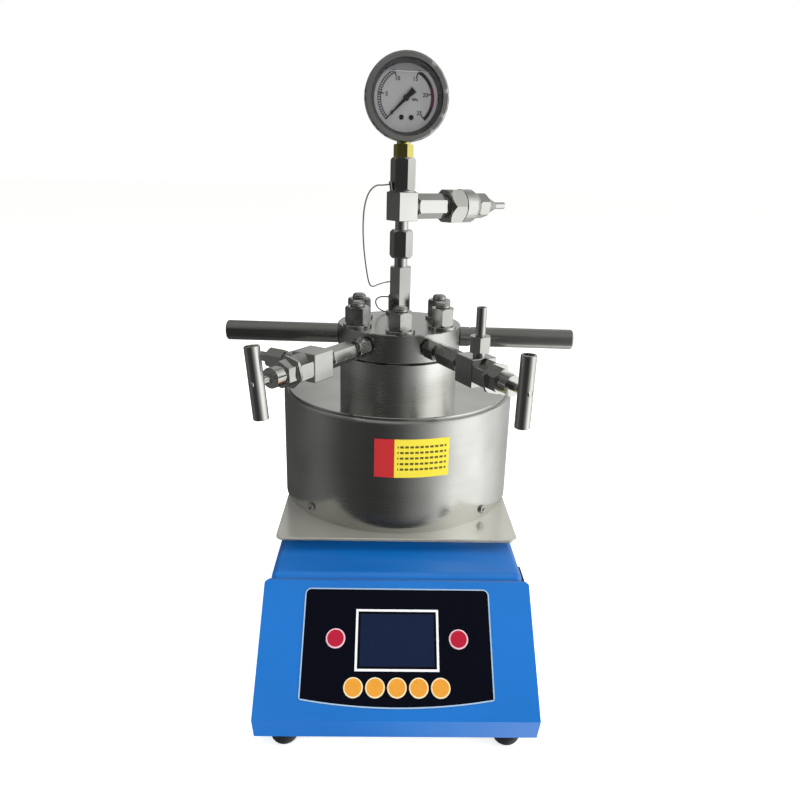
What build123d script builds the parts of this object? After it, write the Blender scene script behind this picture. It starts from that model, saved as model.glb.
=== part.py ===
"""Hydrothermal reactor on a magnetic stirrer: a stirrer base with a sloping control console, a
heated mantle, a bolted pressure vessel with two needle valves, and a gauge column with a
burst-disc vent.  Millimetres, +Z up, origin on the table under the middle of the base, -Y the
console side."""
from build123d import *
from math import cos, pi, radians, sin, sqrt, tan
import os

# ---------------------------------------------------------------- driving dimensions
# Base
foot_height = 12.0
foot_radius = 10.0
housing_width = 188.0
housing_height = 86.0           # from its lower rim to its flat top
housing_front = -96.5
housing_rear = 159.5
housing_wall = 2.5
plinth_height = 8.8             # raised seat that carries the plate
cover_step = 3.75               # cover beyond each side of the housing
cover_strip = 2.5               # level strip above the slope
cover_drop = 3.0                # from the housing's top down to that strip
slope_length = 94.6
slope_angle = 42.7              # below the horizontal
lip_setback = 6.1
floor_thickness = 2.0
plate_width = 191.0
plate_thickness = 2.2
plate_front_margin = 8.7        # plate edge in front of the mantle
plate_corner = 6.5
axis_y = 47.5                   # vessel axis behind the origin

# Console panel, measured down the slope from its upper edge
overlay_width = 134.5
overlay_top = 5.5
overlay_side = 81.5
overlay_bottom = 86.9
overlay_thickness = 0.8
overlay_proud = 0.4
screen_width = 55.8
screen_height = 39.0
screen_middle = 41.8
round_button_radius = 6.9
round_button_spread = 43.7
round_button_place = 41.1
key_radius = 6.75
key_pitch = 15.1
key_place = 73.6
button_travel = 0.6
button_gap = 0.3
board_depth = 9.0               # from the panel face to the panel board

# Mantle
mantle_radius = 100.0
mantle_height = 94.2
jacket_wall = 1.2
rim_round = 3.0
rim_inner = 96.4
disc_thickness = 3.2
disc_proud = 1.8

# Vessel and lid
bore_radius = 27.5
liner_wall = 3.2
liner_floor = 6.0
vessel_radius = 38.0
vessel_depth = 76.0             # body below the flange
vessel_floor = 12.0
flange_step = 1.65              # flange inside the edge of the lid
flange_height = 29.4
gasket_thickness = 1.5
gasket_inset = 1.0              # gasket inside the edge of the flange
lid_radius = 52.85
lid_height = 23.6
port_level = 12.7               # handles and valves above the underside of the lid
stud_edge = 11.85               # stud circle inside the edge of the lid
stud_radius = 6.0
stud_count = 6
nut_flats = 18.0
nut_height = 14.7
washer_radius = 12.0
washer_thickness = 2.5
stud_over_nut = 4.3
handle_radius = 8.5
handle_reach = 150.0
lid_turn = -2.4                 # handles against the base, degrees

# Needle valves
valve_turns = (238.0, 296.0)    # directions of the two valves, degrees
valve_tilts = (6.8, -1.0)       # lean of the two T-bars, degrees
gland_gap = 2.15                # from the lid to the gland
gland_length = 15.0
neck_length = 6.0
nipple_length = 28.0
nipple_gap = 7.0
block_long = 22.0
block_wide = 21.0
block_tall = 21.0
valve_bore = 1.6
stem_radius = 3.0
bar_radius = 5.3
bar_length = 50.0
bar_reach = 49.0                # T-bar beyond its block
outlet_ahead = 4.0              # outlet beyond the middle of its block
bar_wall = 1.3
outlet_tube_radius = 3.6

# Gauge column, heights of each piece
column_height = 48.0
column_flats = 17.0
short_neck = 7.0
coupling_height = 23.4
tee_height = 23.0
tee_side = 19.0
tee_turn = 34.0                 # direction of the vent branch, degrees
adapter_height = 26.6
brass_height = 11.5
gauge_radius = 32.8
gauge_turn = 7.0                # gauge faces right of the console side, degrees
case_dip = 0.6                  # edge of the gauge below the top of its brass

# Clearances
fit_gap = 0.05                  # threads and running fits
seat_gap = 0.3                  # pieces that are dropped in place

# ---------------------------------------------------------------- worked-out levels
cover_width = housing_width + 2 * cover_step
flange_radius = lid_radius - flange_step
gasket_radius = flange_radius - gasket_inset
stud_circle = lid_radius - stud_edge
gland_start = lid_radius + gland_gap
base_bottom = foot_height
housing_top = base_bottom + housing_height
plate_bottom = housing_top + plinth_height
plate_top = plate_bottom + plate_thickness
rim_top = plate_top + mantle_height
disc_top = rim_top + disc_proud
flange_top = disc_top + flange_height
lid_bottom = flange_top + gasket_thickness
lid_top = lid_bottom + lid_height
side_level = lid_bottom + port_level
nut_top = lid_top + washer_thickness + nut_height
stud_top = nut_top + stud_over_nut
column_top = lid_top + column_height
coupling_bottom = column_top + short_neck
coupling_top = coupling_bottom + coupling_height
tee_bottom = coupling_top + short_neck
tee_top = tee_bottom + tee_height
branch_level = tee_bottom + tee_height / 2
adapter_top = tee_top + adapter_height
brass_top = adapter_top + brass_height
gauge_level = brass_top + gauge_radius - case_dip

slope_rad = radians(slope_angle)
cover_top = housing_top - cover_drop
slope_start = (housing_front - cover_strip, cover_top)
slope_end = (
    slope_start[0] - slope_length * cos(slope_rad),
    slope_start[1] - slope_length * sin(slope_rad),
)
lip_end = (slope_end[0] + lip_setback, base_bottom)


def across_flats(flats):
    """Corner radius of a hexagon from its width across flats."""
    return flats / sqrt(3)


def level(height, turn=0.0):
    """A level plane on the vessel axis at a height, turned about that axis."""
    x_dir = (cos(radians(turn)), sin(radians(turn)), 0)
    return Plane(origin=(0, axis_y, height), x_dir=x_dir, z_dir=(0, 0, 1))


def radial(turn, height, distance=0.0):
    """A plane that faces away from the vessel axis; its x points up, so y is to the left."""
    out = Vector(cos(radians(turn)), sin(radians(turn)), 0)
    origin = Vector(0, axis_y, height) + out * distance
    return Plane(origin=origin, x_dir=(0, 0, 1), z_dir=out)


# The panel plane lies on the slope: x to the right, y up the slope, z out of the console
panel = Plane(
    origin=(0, slope_start[0], slope_start[1]),
    x_dir=(1, 0, 0),
    z_dir=(0, -sin(slope_rad), cos(slope_rad)),
)


def keep(part, name):
    """Labels a finished piece and writes it to its own file."""
    part.label = name
    export_step(part, f"parts/{name}.step")


os.makedirs("parts", exist_ok=True)

# ---------------------------------------------------------------- housing
inner_half = housing_width / 2 - housing_wall
housing_corner = 8.0
housing_edge = 5.0
front_edge = 6.5
boss_radius = 5.0
boss_inset = 6.5
boss_front_place = 42.0
boss_spots = [
    (x, y)
    for x in (-inner_half + boss_inset, inner_half - boss_inset)
    for y in (housing_front + boss_front_place, housing_rear - housing_wall - boss_inset)
]
floor_top = base_bottom + floor_thickness
screw_radius = 2.0
plate_depth_half = mantle_radius + plate_front_margin
plinth_inset = 7.0
plinth_wall = 10.0
window_width = 130.0
window_top = 70.0

switch_y = -83.5
switch_z = housing_top - 12.0
switch_half_y = 9.5
switch_half_z = 6.5

inlet_x = -48.0
socket_z = base_bottom + 34.0
inlet_wide = 27.0
inlet_tall = 19.6
socket_places = ((18.0, 8.0), (52.0, 6.0))      # x and barrel radius of the two round sockets

housing_middle = (housing_front + housing_rear) / 2
housing_length = housing_rear - housing_front
with BuildPart() as housing:
    with BuildSketch(Plane.YZ) as housing_side:
        with Locations((housing_middle, base_bottom + housing_height / 2)):
            Rectangle(housing_length, housing_height)
        upper = housing_side.vertices().group_by(Axis.Y)[-1].sort_by(Axis.X)
        fillet(upper[0], radius=front_edge)
        fillet(upper[-1], radius=housing_corner)
    extrude(amount=housing_width / 2, both=True)
    for side in (0, -1):
        rim = housing.faces().sort_by(Axis.X)[side].edges()
        fillet(rim.filter_by(lambda e: e.center().Z > base_bottom + 1)
               .filter_by(lambda e: e.center().Y > housing_front + 1), radius=housing_edge)
    # Raised seat under the plate
    with BuildSketch(Plane.XY.offset(housing_top)):
        with Locations((0, axis_y)):
            Rectangle(plate_width - 2 * plinth_inset, 2 * plate_depth_half - 2 * plinth_inset)
            Rectangle(
                plate_width - 2 * plinth_inset - 2 * plinth_wall,
                2 * plate_depth_half - 2 * plinth_inset - 2 * plinth_wall,
                mode=Mode.SUBTRACT,
            )
    extrude(amount=plinth_height)
    # Hollow, open below
    with BuildSketch(Plane.XY.offset(base_bottom)):
        with Locations((0, housing_middle)):
            RectangleRounded(
                housing_width - 2 * housing_wall,
                housing_length - 2 * housing_wall,
                housing_edge - housing_wall,
            )
    extrude(amount=housing_height - housing_wall, mode=Mode.SUBTRACT)
    # Corner bosses that the floor is screwed to
    with BuildSketch(Plane.XY.offset(floor_top)):
        with Locations(*boss_spots):
            Circle(boss_radius)
    extrude(until=Until.NEXT)
    with Locations(*[(x, y, floor_top) for x, y in boss_spots]):
        Cylinder(
            screw_radius + fit_gap, 24, align=(Align.CENTER, Align.CENTER, Align.CENTER),
            mode=Mode.SUBTRACT,
        )
    # Cable window into the console
    with BuildSketch(Plane.XZ.offset(-housing_front - 2 * housing_wall)):
        with Locations((0, base_bottom)):
            Rectangle(window_width, window_top, align=(Align.CENTER, Align.MIN))
            Rectangle(2 * inner_half, floor_thickness + seat_gap, align=(Align.CENTER, Align.MIN))
    extrude(amount=2 * housing_wall, mode=Mode.SUBTRACT)
    # Side opening for the power switch, rear openings for the sockets
    with Locations((housing_width / 2, switch_y, switch_z)):
        Box(4 * housing_wall, 2 * switch_half_y, 2 * switch_half_z, mode=Mode.SUBTRACT)
    with Locations((inlet_x, housing_rear, socket_z)):
        Box(inlet_wide, 4 * housing_wall, inlet_tall, mode=Mode.SUBTRACT)
    for x, barrel in socket_places:
        with Locations(Plane(origin=(x, housing_rear, socket_z), z_dir=(0, 1, 0))):
            Cylinder(barrel, 4 * housing_wall, mode=Mode.SUBTRACT)
keep(housing.part, "housing_body")

# ---------------------------------------------------------------- console cover
cover_wall = 2.5
cover_edge = 1.6
recess_gap = 0.15
recess_depth = overlay_thickness - overlay_proud
post_radius = 3.0
post_inset = 5.25               # posts inside the edges of the film
post_top = overlay_top + 8.5
post_bottom = overlay_side - 1.5
post_spread = overlay_width / 2 - post_inset
post_spots = [(x, -y) for x in (-post_spread, post_spread) for y in (post_top, post_bottom)]
button_hole = round_button_radius + button_gap
key_hole = key_radius + button_gap
round_spots = [(x, -round_button_place) for x in (-round_button_spread, round_button_spread)]
key_spots = [((i - 2) * key_pitch, -key_place) for i in range(5)]


def overlay_outline(grow=0.0):
    """Outline of the panel film: round upper corners, and a lower edge that bows down."""
    half = overlay_width / 2 + grow
    top, side, bottom = -overlay_top + grow, -overlay_side - grow, -overlay_bottom - grow
    with BuildSketch(Plane.XY, mode=Mode.PRIVATE) as outline:
        with BuildLine():
            Polyline((-half, side), (-half, top), (half, top), (half, side))
            ThreePointArc((half, side), (0, bottom), (-half, side))
        make_face()
        fillet(outline.vertices().group_by(Axis.Y)[-1], radius=4.5)
        fillet(outline.vertices().group_by(Axis.Y)[0], radius=2.0)
    return outline.sketch


def cover_outline(beyond=0.0):
    """Side view of the cover, level strip, long slope and a short lip that leans back; beyond
    carries it on behind and below."""
    lip_lean = lip_setback / (slope_end[1] - base_bottom)
    with BuildSketch(Plane.XY, mode=Mode.PRIVATE) as outline:
        with BuildLine():
            Polyline(
                (housing_front + beyond, base_bottom - beyond),
                (housing_front + beyond, cover_top),
                slope_start,
                slope_end,
                (lip_end[0] + beyond * lip_lean, base_bottom - beyond),
                close=True,
            )
        make_face()
    return outline.sketch


with BuildPart() as cover:
    with BuildSketch(Plane.YZ):
        add(cover_outline())
    extrude(amount=cover_width / 2, both=True)
    crest = cover.edges().filter_by(Axis.X).group_by(Axis.Z)[-1].sort_by(Axis.Y)[0]
    fillet(crest, radius=cover_edge)
    chamfer(cover.edges().filter_by(Axis.Z).group_by(Axis.Y)[-1], length=cover_step)
    # Hollow, open at the back and below
    with BuildSketch(Plane.YZ):
        add(cover_outline(2 * cover_wall))
        offset(amount=-cover_wall)
    extrude(amount=inner_half, both=True, mode=Mode.SUBTRACT)
    # Posts for the panel board
    with BuildSketch(panel.offset(-cover_wall + 0.5)):
        with Locations(*post_spots):
            Circle(post_radius)
    extrude(amount=-(board_depth - cover_wall + 0.5))
    # Recess for the film, windows for the screen and the buttons
    with BuildSketch(panel.offset(-recess_depth)):
        add(overlay_outline(recess_gap))
    extrude(amount=2 * recess_depth, mode=Mode.SUBTRACT)
    with BuildSketch(panel.offset(overlay_proud)):
        with Locations((0, -screen_middle)):
            Rectangle(screen_width + 2 * fit_gap, screen_height + 2 * fit_gap)
        with Locations(*round_spots):
            Circle(button_hole)
        with Locations(*key_spots):
            Circle(key_hole)
    extrude(amount=-2 * cover_wall, mode=Mode.SUBTRACT)
keep(cover.part, "console_cover")

# ---------------------------------------------------------------- panel film, screen and board
with BuildPart() as overlay:
    with BuildSketch(panel.offset(-recess_depth)):
        add(overlay_outline())
        with Locations((0, -screen_middle)):
            Rectangle(screen_width, screen_height, mode=Mode.SUBTRACT)
        with Locations(*round_spots):
            Circle(button_hole, mode=Mode.SUBTRACT)
        with Locations(*key_spots):
            Circle(key_hole, mode=Mode.SUBTRACT)
    extrude(amount=overlay_thickness)
keep(overlay.part, "panel_overlay")

with BuildPart() as screen:
    with BuildSketch(panel.offset(-board_depth)):
        with Locations((0, -screen_middle)):
            Rectangle(screen_width, screen_height)
    extrude(amount=board_depth + overlay_proud - 0.1)
    chamfer(screen.faces().sort_by(Axis.Z)[-1].edges(), length=0.3)
keep(screen.part, "display_screen")

flange_thickness = 1.2
flange_wide = 14.0
flange_long = 17.5
plunger_radius = 2.0
plunger_length = 3.0
button_rise = 0.7               # cap edge above the film
button_dome = 0.5
button_reach = cover_wall + button_gap + flange_thickness + plunger_length

board_thickness = 1.6
panel_board_wide = 146.0
panel_board_high = 74.0
panel_board_middle = 49.0       # down the slope
tact_side = 6.0
tact_height = board_depth - button_reach - button_travel - seat_gap
power_board_y = 113.5
power_board_z = floor_top + 8.0
power_board_wide = 122.0
power_board_deep = 62.0
spacer_radius = 3.0
spacer_inset = 6.0
transformer = (40.0, 34.0)
transformer_place = (-34.0, -6.0)
heat_sink = (24.0, 40.0)
heat_sink_place = (30.0, 0.0)
power_parts_height = 22.0
with BuildPart() as boards:
    with BuildSketch(panel.offset(-board_depth)):
        with Locations((0, -panel_board_middle)):
            Rectangle(panel_board_wide, panel_board_high)
    extrude(amount=-board_thickness)
    with BuildSketch(panel.offset(-board_depth)):
        with Locations(*round_spots, *key_spots):
            Rectangle(tact_side, tact_side)
    extrude(amount=tact_height)
    # Power board on four spacers, with its transformer
    with BuildSketch(Plane.XY.offset(floor_top)):
        with Locations((0, power_board_y)):
            with GridLocations(
                power_board_wide - 2 * spacer_inset, power_board_deep - 2 * spacer_inset, 2, 2,
            ):
                Circle(spacer_radius)
    extrude(amount=power_board_z - floor_top)
    with BuildSketch(Plane.XY.offset(power_board_z)):
        with Locations((0, power_board_y)):
            Rectangle(power_board_wide, power_board_deep)
    extrude(amount=board_thickness)
    with BuildSketch(Plane.XY.offset(power_board_z + board_thickness)):
        with Locations((transformer_place[0], power_board_y + transformer_place[1])):
            Rectangle(*transformer)
        with Locations((heat_sink_place[0], power_board_y + heat_sink_place[1])):
            Rectangle(*heat_sink)
    extrude(amount=power_parts_height)
keep(boards.part, "circuit_boards")



# ---------------------------------------------------------------- buttons
def push_button(spot, radius, name):
    """A domed cap on a retaining flange and a plunger over its switch."""
    middle = panel.from_local_coords(Vector(spot[0], spot[1], 0))
    base = Plane(middle, x_dir=(1, 0, 0), z_dir=panel.z_dir)
    flange_top_at = -cover_wall - button_gap
    with BuildPart() as button:
        with BuildSketch(base.offset(flange_top_at)):
            Rectangle(flange_wide, flange_long)
        extrude(amount=-flange_thickness)
        with BuildSketch(base.offset(flange_top_at)):
            Circle(radius)
        extrude(amount=overlay_proud + button_rise - flange_top_at)
        fillet(button.faces().sort_by(Axis((0, 0, 0), panel.z_dir))[-1].edges(), radius=button_dome)
        with BuildSketch(base.offset(flange_top_at - flange_thickness)):
            Circle(plunger_radius)
        extrude(amount=-plunger_length)
    keep(button.part, name)


for spot, name in zip(round_spots, ("heat_button", "stir_button")):
    push_button(spot, round_button_radius, name)
for spot, name in zip(key_spots, ("key_set", "key_shift", "key_down", "key_up", "key_time")):
    push_button(spot, key_radius, name)

# ---------------------------------------------------------------- floor, feet and screws
floor_front = lip_end[0] + cover_wall + 0.6
foot_side = 16.0                # feet inside the sides, the back and the front lip
foot_back = 25.0
foot_lip = 10.92
foot_spread = housing_width / 2 - foot_side
foot_rows = (lip_end[0] + foot_lip, housing_rear - foot_back)
foot_spots = [(x, y) for x in (-foot_spread, foot_spread) for y in foot_rows]
foot_stem = 3.0
foot_barb = 1.2                 # barb that holds the foot in the floor
foot_barb_height = 3.0
dome_rise = 8.6                 # height where the dome meets the straight side
dome_flat_inset = 5.5
dome_knee = (1.4, 3.4)          # inset and height of the middle of the dome
with BuildPart() as base_floor:
    with BuildSketch(Plane.XY.offset(base_bottom)):
        with Locations((0, (floor_front + housing_rear - housing_wall - seat_gap) / 2)):
            RectangleRounded(
                2 * (inner_half - seat_gap),
                housing_rear - housing_wall - seat_gap - floor_front,
                housing_edge - housing_wall,
            )
        with Locations(*boss_spots):
            Circle(screw_radius + fit_gap, mode=Mode.SUBTRACT)
        with Locations(*foot_spots):
            Circle(foot_stem + fit_gap, mode=Mode.SUBTRACT)
    extrude(amount=floor_thickness)
keep(base_floor.part, "base_floor")

with BuildPart() as feet:
    with BuildSketch(Plane.XZ):
        with BuildLine():
            dome_start = (foot_radius - dome_flat_inset, 0)
            dome_end = (foot_radius, dome_rise)
            Line((0, 0), dome_start)
            ThreePointArc(dome_start, (foot_radius - dome_knee[0], dome_knee[1]), dome_end)
            Polyline(
                dome_end, (foot_radius, foot_height), (foot_stem, foot_height),
                (foot_stem, floor_top), (foot_stem + foot_barb, floor_top),
                (foot_stem, floor_top + foot_barb_height), (0, floor_top + foot_barb_height), (0, 0),
            )
        make_face()
    revolve(axis=Axis.Z)
    foot = feet.part
with BuildPart() as rubber_feet:
    with Locations(*foot_spots):
        add(foot)
keep(rubber_feet.part, "rubber_feet")

screw_head_radius = 3.6
screw_head = 2.2
jacket_screw_level = plate_top + 8.0
jacket_screw_turns = (225.0, 315.0, 45.0, 135.0)
with BuildPart() as pan_screw:
    Cylinder(screw_head_radius, screw_head, align=(Align.CENTER, Align.CENTER, Align.MIN))
    fillet(pan_screw.edges().group_by(Axis.Z)[-1], radius=1.2)
    with BuildSketch(Plane.XY.offset(screw_head)):
        Rectangle(3.6, 0.8)
        Rectangle(0.8, 3.6)
    extrude(amount=-1.2, mode=Mode.SUBTRACT)
    Cylinder(screw_radius, 9, align=(Align.CENTER, Align.CENTER, Align.MAX))
with BuildPart() as small_screws:
    with Locations(*[Plane(origin=(x, y, base_bottom), z_dir=(0, 0, -1)) for x, y in boss_spots]):
        add(pan_screw.part)
    with Locations(*[radial(turn, jacket_screw_level, mantle_radius) for turn in jacket_screw_turns]):
        add(pan_screw.part)
keep(small_screws.part, "small_screws")

# ---------------------------------------------------------------- power switch
rocker_pivot = housing_width / 2 - 0.8
rocker_half = 8.0
rocker_tall = 5.2
rocker_front = 2.6
rocker_tilt = 8.0
side_wall = Plane(
    origin=(housing_width / 2, switch_y, switch_z), x_dir=(0, 1, 0), z_dir=(1, 0, 0)
)
with BuildPart() as switch_frame:
    with BuildSketch(side_wall):
        RectangleRounded(21, 15, 1.5)
    extrude(amount=1.8)
    fillet(switch_frame.faces().sort_by(Axis.X)[-1].edges(), radius=0.8)
    with BuildSketch(side_wall):
        Rectangle(2 * switch_half_y - 2 * fit_gap, 2 * switch_half_z - 2 * fit_gap)
    extrude(amount=-13)
    with BuildSketch(side_wall.offset(1.8)):
        Rectangle(2 * (rocker_half + 0.7), 2 * (rocker_tall + seat_gap))
    extrude(amount=-8.5, mode=Mode.SUBTRACT)
    with Locations(Plane(origin=(rocker_pivot, switch_y, switch_z))):
        Cylinder(1.0 + fit_gap, 2 * (rocker_tall + 1.2), mode=Mode.SUBTRACT)
keep(switch_frame.part, "switch_frame")

rocker_plane = Plane(origin=(rocker_pivot, switch_y, switch_z)).rotated((0, 0, -rocker_tilt))
with BuildPart() as rocker:
    with BuildSketch(rocker_plane):
        Polygon(
            (rocker_front, -rocker_half), (rocker_front - 1.2, 0), (rocker_front, rocker_half),
            (-3, rocker_half), (-3, -rocker_half), align=None,
        )
    extrude(amount=rocker_tall, both=True)
    fillet(rocker.edges().filter_by(Axis.Z).group_by(Axis.X)[-1], radius=0.6)
    with Locations(rocker_plane):
        Cylinder(1.0, 2 * (rocker_tall + 1.1))
keep(rocker.part, "switch_rocker")

# ---------------------------------------------------------------- sockets on the rear wall
rear_wall = Plane(origin=(0, housing_rear, socket_z), x_dir=(-1, 0, 0), z_dir=(0, 1, 0))
inlet_flange = 2.0
inlet_depth = 16.0
pin_length = 8.0
with BuildPart() as power_inlet:
    with BuildSketch(rear_wall):
        with Locations((-inlet_x, 0)):
            RectangleRounded(inlet_wide + 4, inlet_tall + 4, 2)
    extrude(amount=inlet_flange)
    with BuildSketch(rear_wall):
        with Locations((-inlet_x, 0)):
            Rectangle(inlet_wide - 2 * fit_gap, inlet_tall - 2 * fit_gap)
    extrude(amount=-inlet_depth)
    with BuildSketch(rear_wall.offset(inlet_flange)):
        with Locations((-inlet_x, 0)):
            RectangleRounded(inlet_wide - 3, inlet_tall - 3.2, 2)
    extrude(amount=-inlet_depth, mode=Mode.SUBTRACT)
    with BuildSketch(rear_wall.offset(-inlet_depth)):
        with Locations((-inlet_x - 7, -2), (-inlet_x, 2), (-inlet_x + 7, -2)):
            Rectangle(2, 4)
    extrude(amount=pin_length + 2)
keep(power_inlet.part, "power_inlet")

with BuildPart() as rear_sockets:
    for x, barrel in socket_places:
        with BuildSketch(rear_wall):
            with Locations((-x, 0)):
                Circle(barrel + 2.5)
        extrude(amount=1.6)
        with BuildSketch(rear_wall):
            with Locations((-x, 0)):
                Circle(barrel - fit_gap)
        extrude(amount=9)
        with BuildSketch(rear_wall):
            with Locations((-x, 0)):
                Circle(barrel - fit_gap)
        extrude(amount=-12)
        with BuildSketch(rear_wall.offset(9)):
            with Locations((-x, 0)):
                Circle(barrel - 1.6)
        extrude(amount=-10, mode=Mode.SUBTRACT)
        with BuildSketch(rear_wall.offset(-1)):
            with Locations((-x, 0)):
                with PolarLocations(barrel - 4.0, 4, start_angle=45):
                    Circle(0.75)
        extrude(amount=4)
keep(rear_sockets.part, "rear_sockets")

# ---------------------------------------------------------------- motor and magnetic drive
motor_radius = 20.0
motor_height = 42.0
bracket_top = floor_top + 52.0
bracket_wide = 64.0
bracket_deep = 50.0
bracket_sheet = 2.0
shaft_radius = 3.0
with BuildPart() as bracket:
    with BuildSketch(Plane(origin=(0, axis_y, 0), x_dir=(1, 0, 0), z_dir=(0, -1, 0))):
        with BuildLine():
            half = bracket_wide / 2
            Polyline(
                (-half - 14, floor_top), (-half - 14, floor_top + bracket_sheet),
                (-half, floor_top + bracket_sheet), (-half, bracket_top), (half, bracket_top),
                (half, floor_top + bracket_sheet), (half + 14, floor_top + bracket_sheet),
                (half + 14, floor_top), (half - bracket_sheet, floor_top),
                (half - bracket_sheet, bracket_top - bracket_sheet),
                (-half + bracket_sheet, bracket_top - bracket_sheet),
                (-half + bracket_sheet, floor_top), close=True,
            )
        make_face()
    extrude(amount=bracket_deep / 2, both=True)
    with BuildSketch(level(bracket_top)):
        Circle(8)
    extrude(amount=-2 * bracket_sheet, mode=Mode.SUBTRACT)
keep(bracket.part, "motor_bracket")

with BuildPart() as motor:
    with BuildSketch(level(bracket_top - bracket_sheet)):
        Circle(motor_radius)
    extrude(amount=-motor_height)
    fillet(motor.edges().group_by(Axis.Z)[0], radius=2)
    with BuildSketch(level(bracket_top - bracket_sheet)):
        Circle(7.8)
    extrude(amount=bracket_sheet + 1)
    with BuildSketch(level(bracket_top + 1)):
        Circle(shaft_radius + fit_gap)
    extrude(amount=-24, mode=Mode.SUBTRACT)
keep(motor.part, "stir_motor")

drive_disc_radius = 32.0
drive_disc_level = bracket_top + 5.0
magnet_top = housing_top - housing_wall - 2.0
with BuildPart() as rotor:
    with BuildSketch(level(bracket_top - 20)):
        Circle(shaft_radius)
    extrude(amount=drive_disc_level - bracket_top + 20)
    with BuildSketch(level(bracket_top + 1 + seat_gap)):
        Circle(7)
    extrude(amount=drive_disc_level - bracket_top)
    with BuildSketch(level(drive_disc_level)):
        Circle(drive_disc_radius)
    extrude(amount=4)
    with BuildSketch(level(drive_disc_level + 4)):
        with Locations((-20, 0), (20, 0)):
            RectangleRounded(16, 24, 2)
    extrude(amount=magnet_top - drive_disc_level - 4)
keep(rotor.part, "drive_rotor")

# ---------------------------------------------------------------- plate
with BuildPart() as plate:
    with BuildSketch(Plane.XY.offset(plate_bottom)):
        with Locations((0, axis_y)):
            RectangleRounded(plate_width, 2 * plate_depth_half, plate_corner)
    extrude(amount=plate_thickness)
    fillet(plate.edges().group_by(Axis.Z)[-1], radius=0.8)
keep(plate.part, "top_plate")

# ---------------------------------------------------------------- mantle
well_outer = 62.0
well_gap = 0.4
well_bottom = plate_top + 8.0
base_ring = 14.0
base_ring_wall = 4.0
jacket_inner = mantle_radius - jacket_wall


def turned(points):
    """A turned piece from its half section, given as radius and height."""
    with BuildPart() as piece:
        with BuildSketch(Plane(origin=(0, axis_y, 0), x_dir=(1, 0, 0), z_dir=(0, -1, 0))):
            with BuildLine():
                Polyline(*points, close=True)
            make_face()
        revolve(axis=Axis((0, axis_y, 0), (0, 0, 1)))
    return piece


with BuildPart() as jacket:
    with BuildSketch(Plane(origin=(0, axis_y, 0), x_dir=(1, 0, 0), z_dir=(0, -1, 0))) as section:
        with BuildLine():
            Polyline(
                (mantle_radius, plate_top), (mantle_radius, rim_top), (rim_inner, rim_top),
                (rim_inner, rim_top - jacket_wall), (jacket_inner, rim_top - jacket_wall),
                (jacket_inner, plate_top), close=True,
            )
        make_face()
        fillet(section.vertices().sort_by_distance((mantle_radius, rim_top))[0], radius=rim_round)
        fillet(
            section.vertices().sort_by_distance((jacket_inner, rim_top - jacket_wall))[0],
            radius=rim_round - jacket_wall,
        )
    revolve(axis=Axis((0, axis_y, 0), (0, 0, 1)))
    for turn in jacket_screw_turns:
        with Locations(radial(turn, jacket_screw_level, mantle_radius)):
            Cylinder(screw_radius + fit_gap, 3, mode=Mode.SUBTRACT)
keep(jacket.part, "mantle_jacket")

with BuildPart() as mantle_base:
    add(turned((
        (0, plate_top), (jacket_inner - fit_gap, plate_top),
        (jacket_inner - fit_gap, plate_top + base_ring),
        (jacket_inner - fit_gap - base_ring_wall, plate_top + base_ring),
        (jacket_inner - fit_gap - base_ring_wall, plate_top + 2), (0, plate_top + 2),
    )).part)
    with BuildSketch(level(plate_top + 2)):
        with PolarLocations(48, 3):
            Circle(5)
    extrude(amount=well_bottom - plate_top - 2)
    for turn in jacket_screw_turns:
        with Locations(radial(turn, jacket_screw_level, mantle_radius)):
            Cylinder(screw_radius + fit_gap, 22, mode=Mode.SUBTRACT)
keep(mantle_base.part, "mantle_base")

disc_bottom = disc_top - disc_thickness
well = turned((
    (0, well_bottom), (well_outer, well_bottom), (well_outer, disc_bottom),
    (vessel_radius + well_gap, disc_bottom),
    (vessel_radius + well_gap, disc_top - vessel_depth - well_gap),
    (0, disc_top - vessel_depth - well_gap),
))
keep(well.part, "heater_well")

insulation_top = rim_top - rim_round - seat_gap
insulation = turned((
    (well_outer + seat_gap, plate_top + 2 + seat_gap),
    (jacket_inner - base_ring_wall - 4.0, plate_top + 2 + seat_gap),
    (jacket_inner - base_ring_wall - 4.0, plate_top + base_ring + seat_gap),
    (jacket_inner - seat_gap, plate_top + base_ring + seat_gap),
    (jacket_inner - seat_gap, insulation_top),
    (well_outer + seat_gap, insulation_top),
))
keep(insulation.part, "mantle_insulation")

disc = turned((
    (vessel_radius + well_gap, disc_bottom), (rim_inner - 0.1, disc_bottom),
    (rim_inner - 0.1, disc_top - 0.5), (rim_inner - 0.6, disc_top),
    (vessel_radius + well_gap, disc_top),
))
keep(disc.part, "mantle_disc")

label_turn = 276.0              # middle of the sticker
label_width = 58.4
label_low = plate_top + 48.6
label_high = label_low + 31.6
label_thickness = 0.2
with BuildPart() as label:
    with BuildSketch(level(label_low, label_turn)):
        Circle(mantle_radius + label_thickness)
        Circle(mantle_radius, mode=Mode.SUBTRACT)
        with Locations((mantle_radius, 0)):
            Rectangle(60, label_width, mode=Mode.INTERSECT)
    extrude(amount=label_high - label_low)
keep(label.part, "jacket_label")

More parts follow.
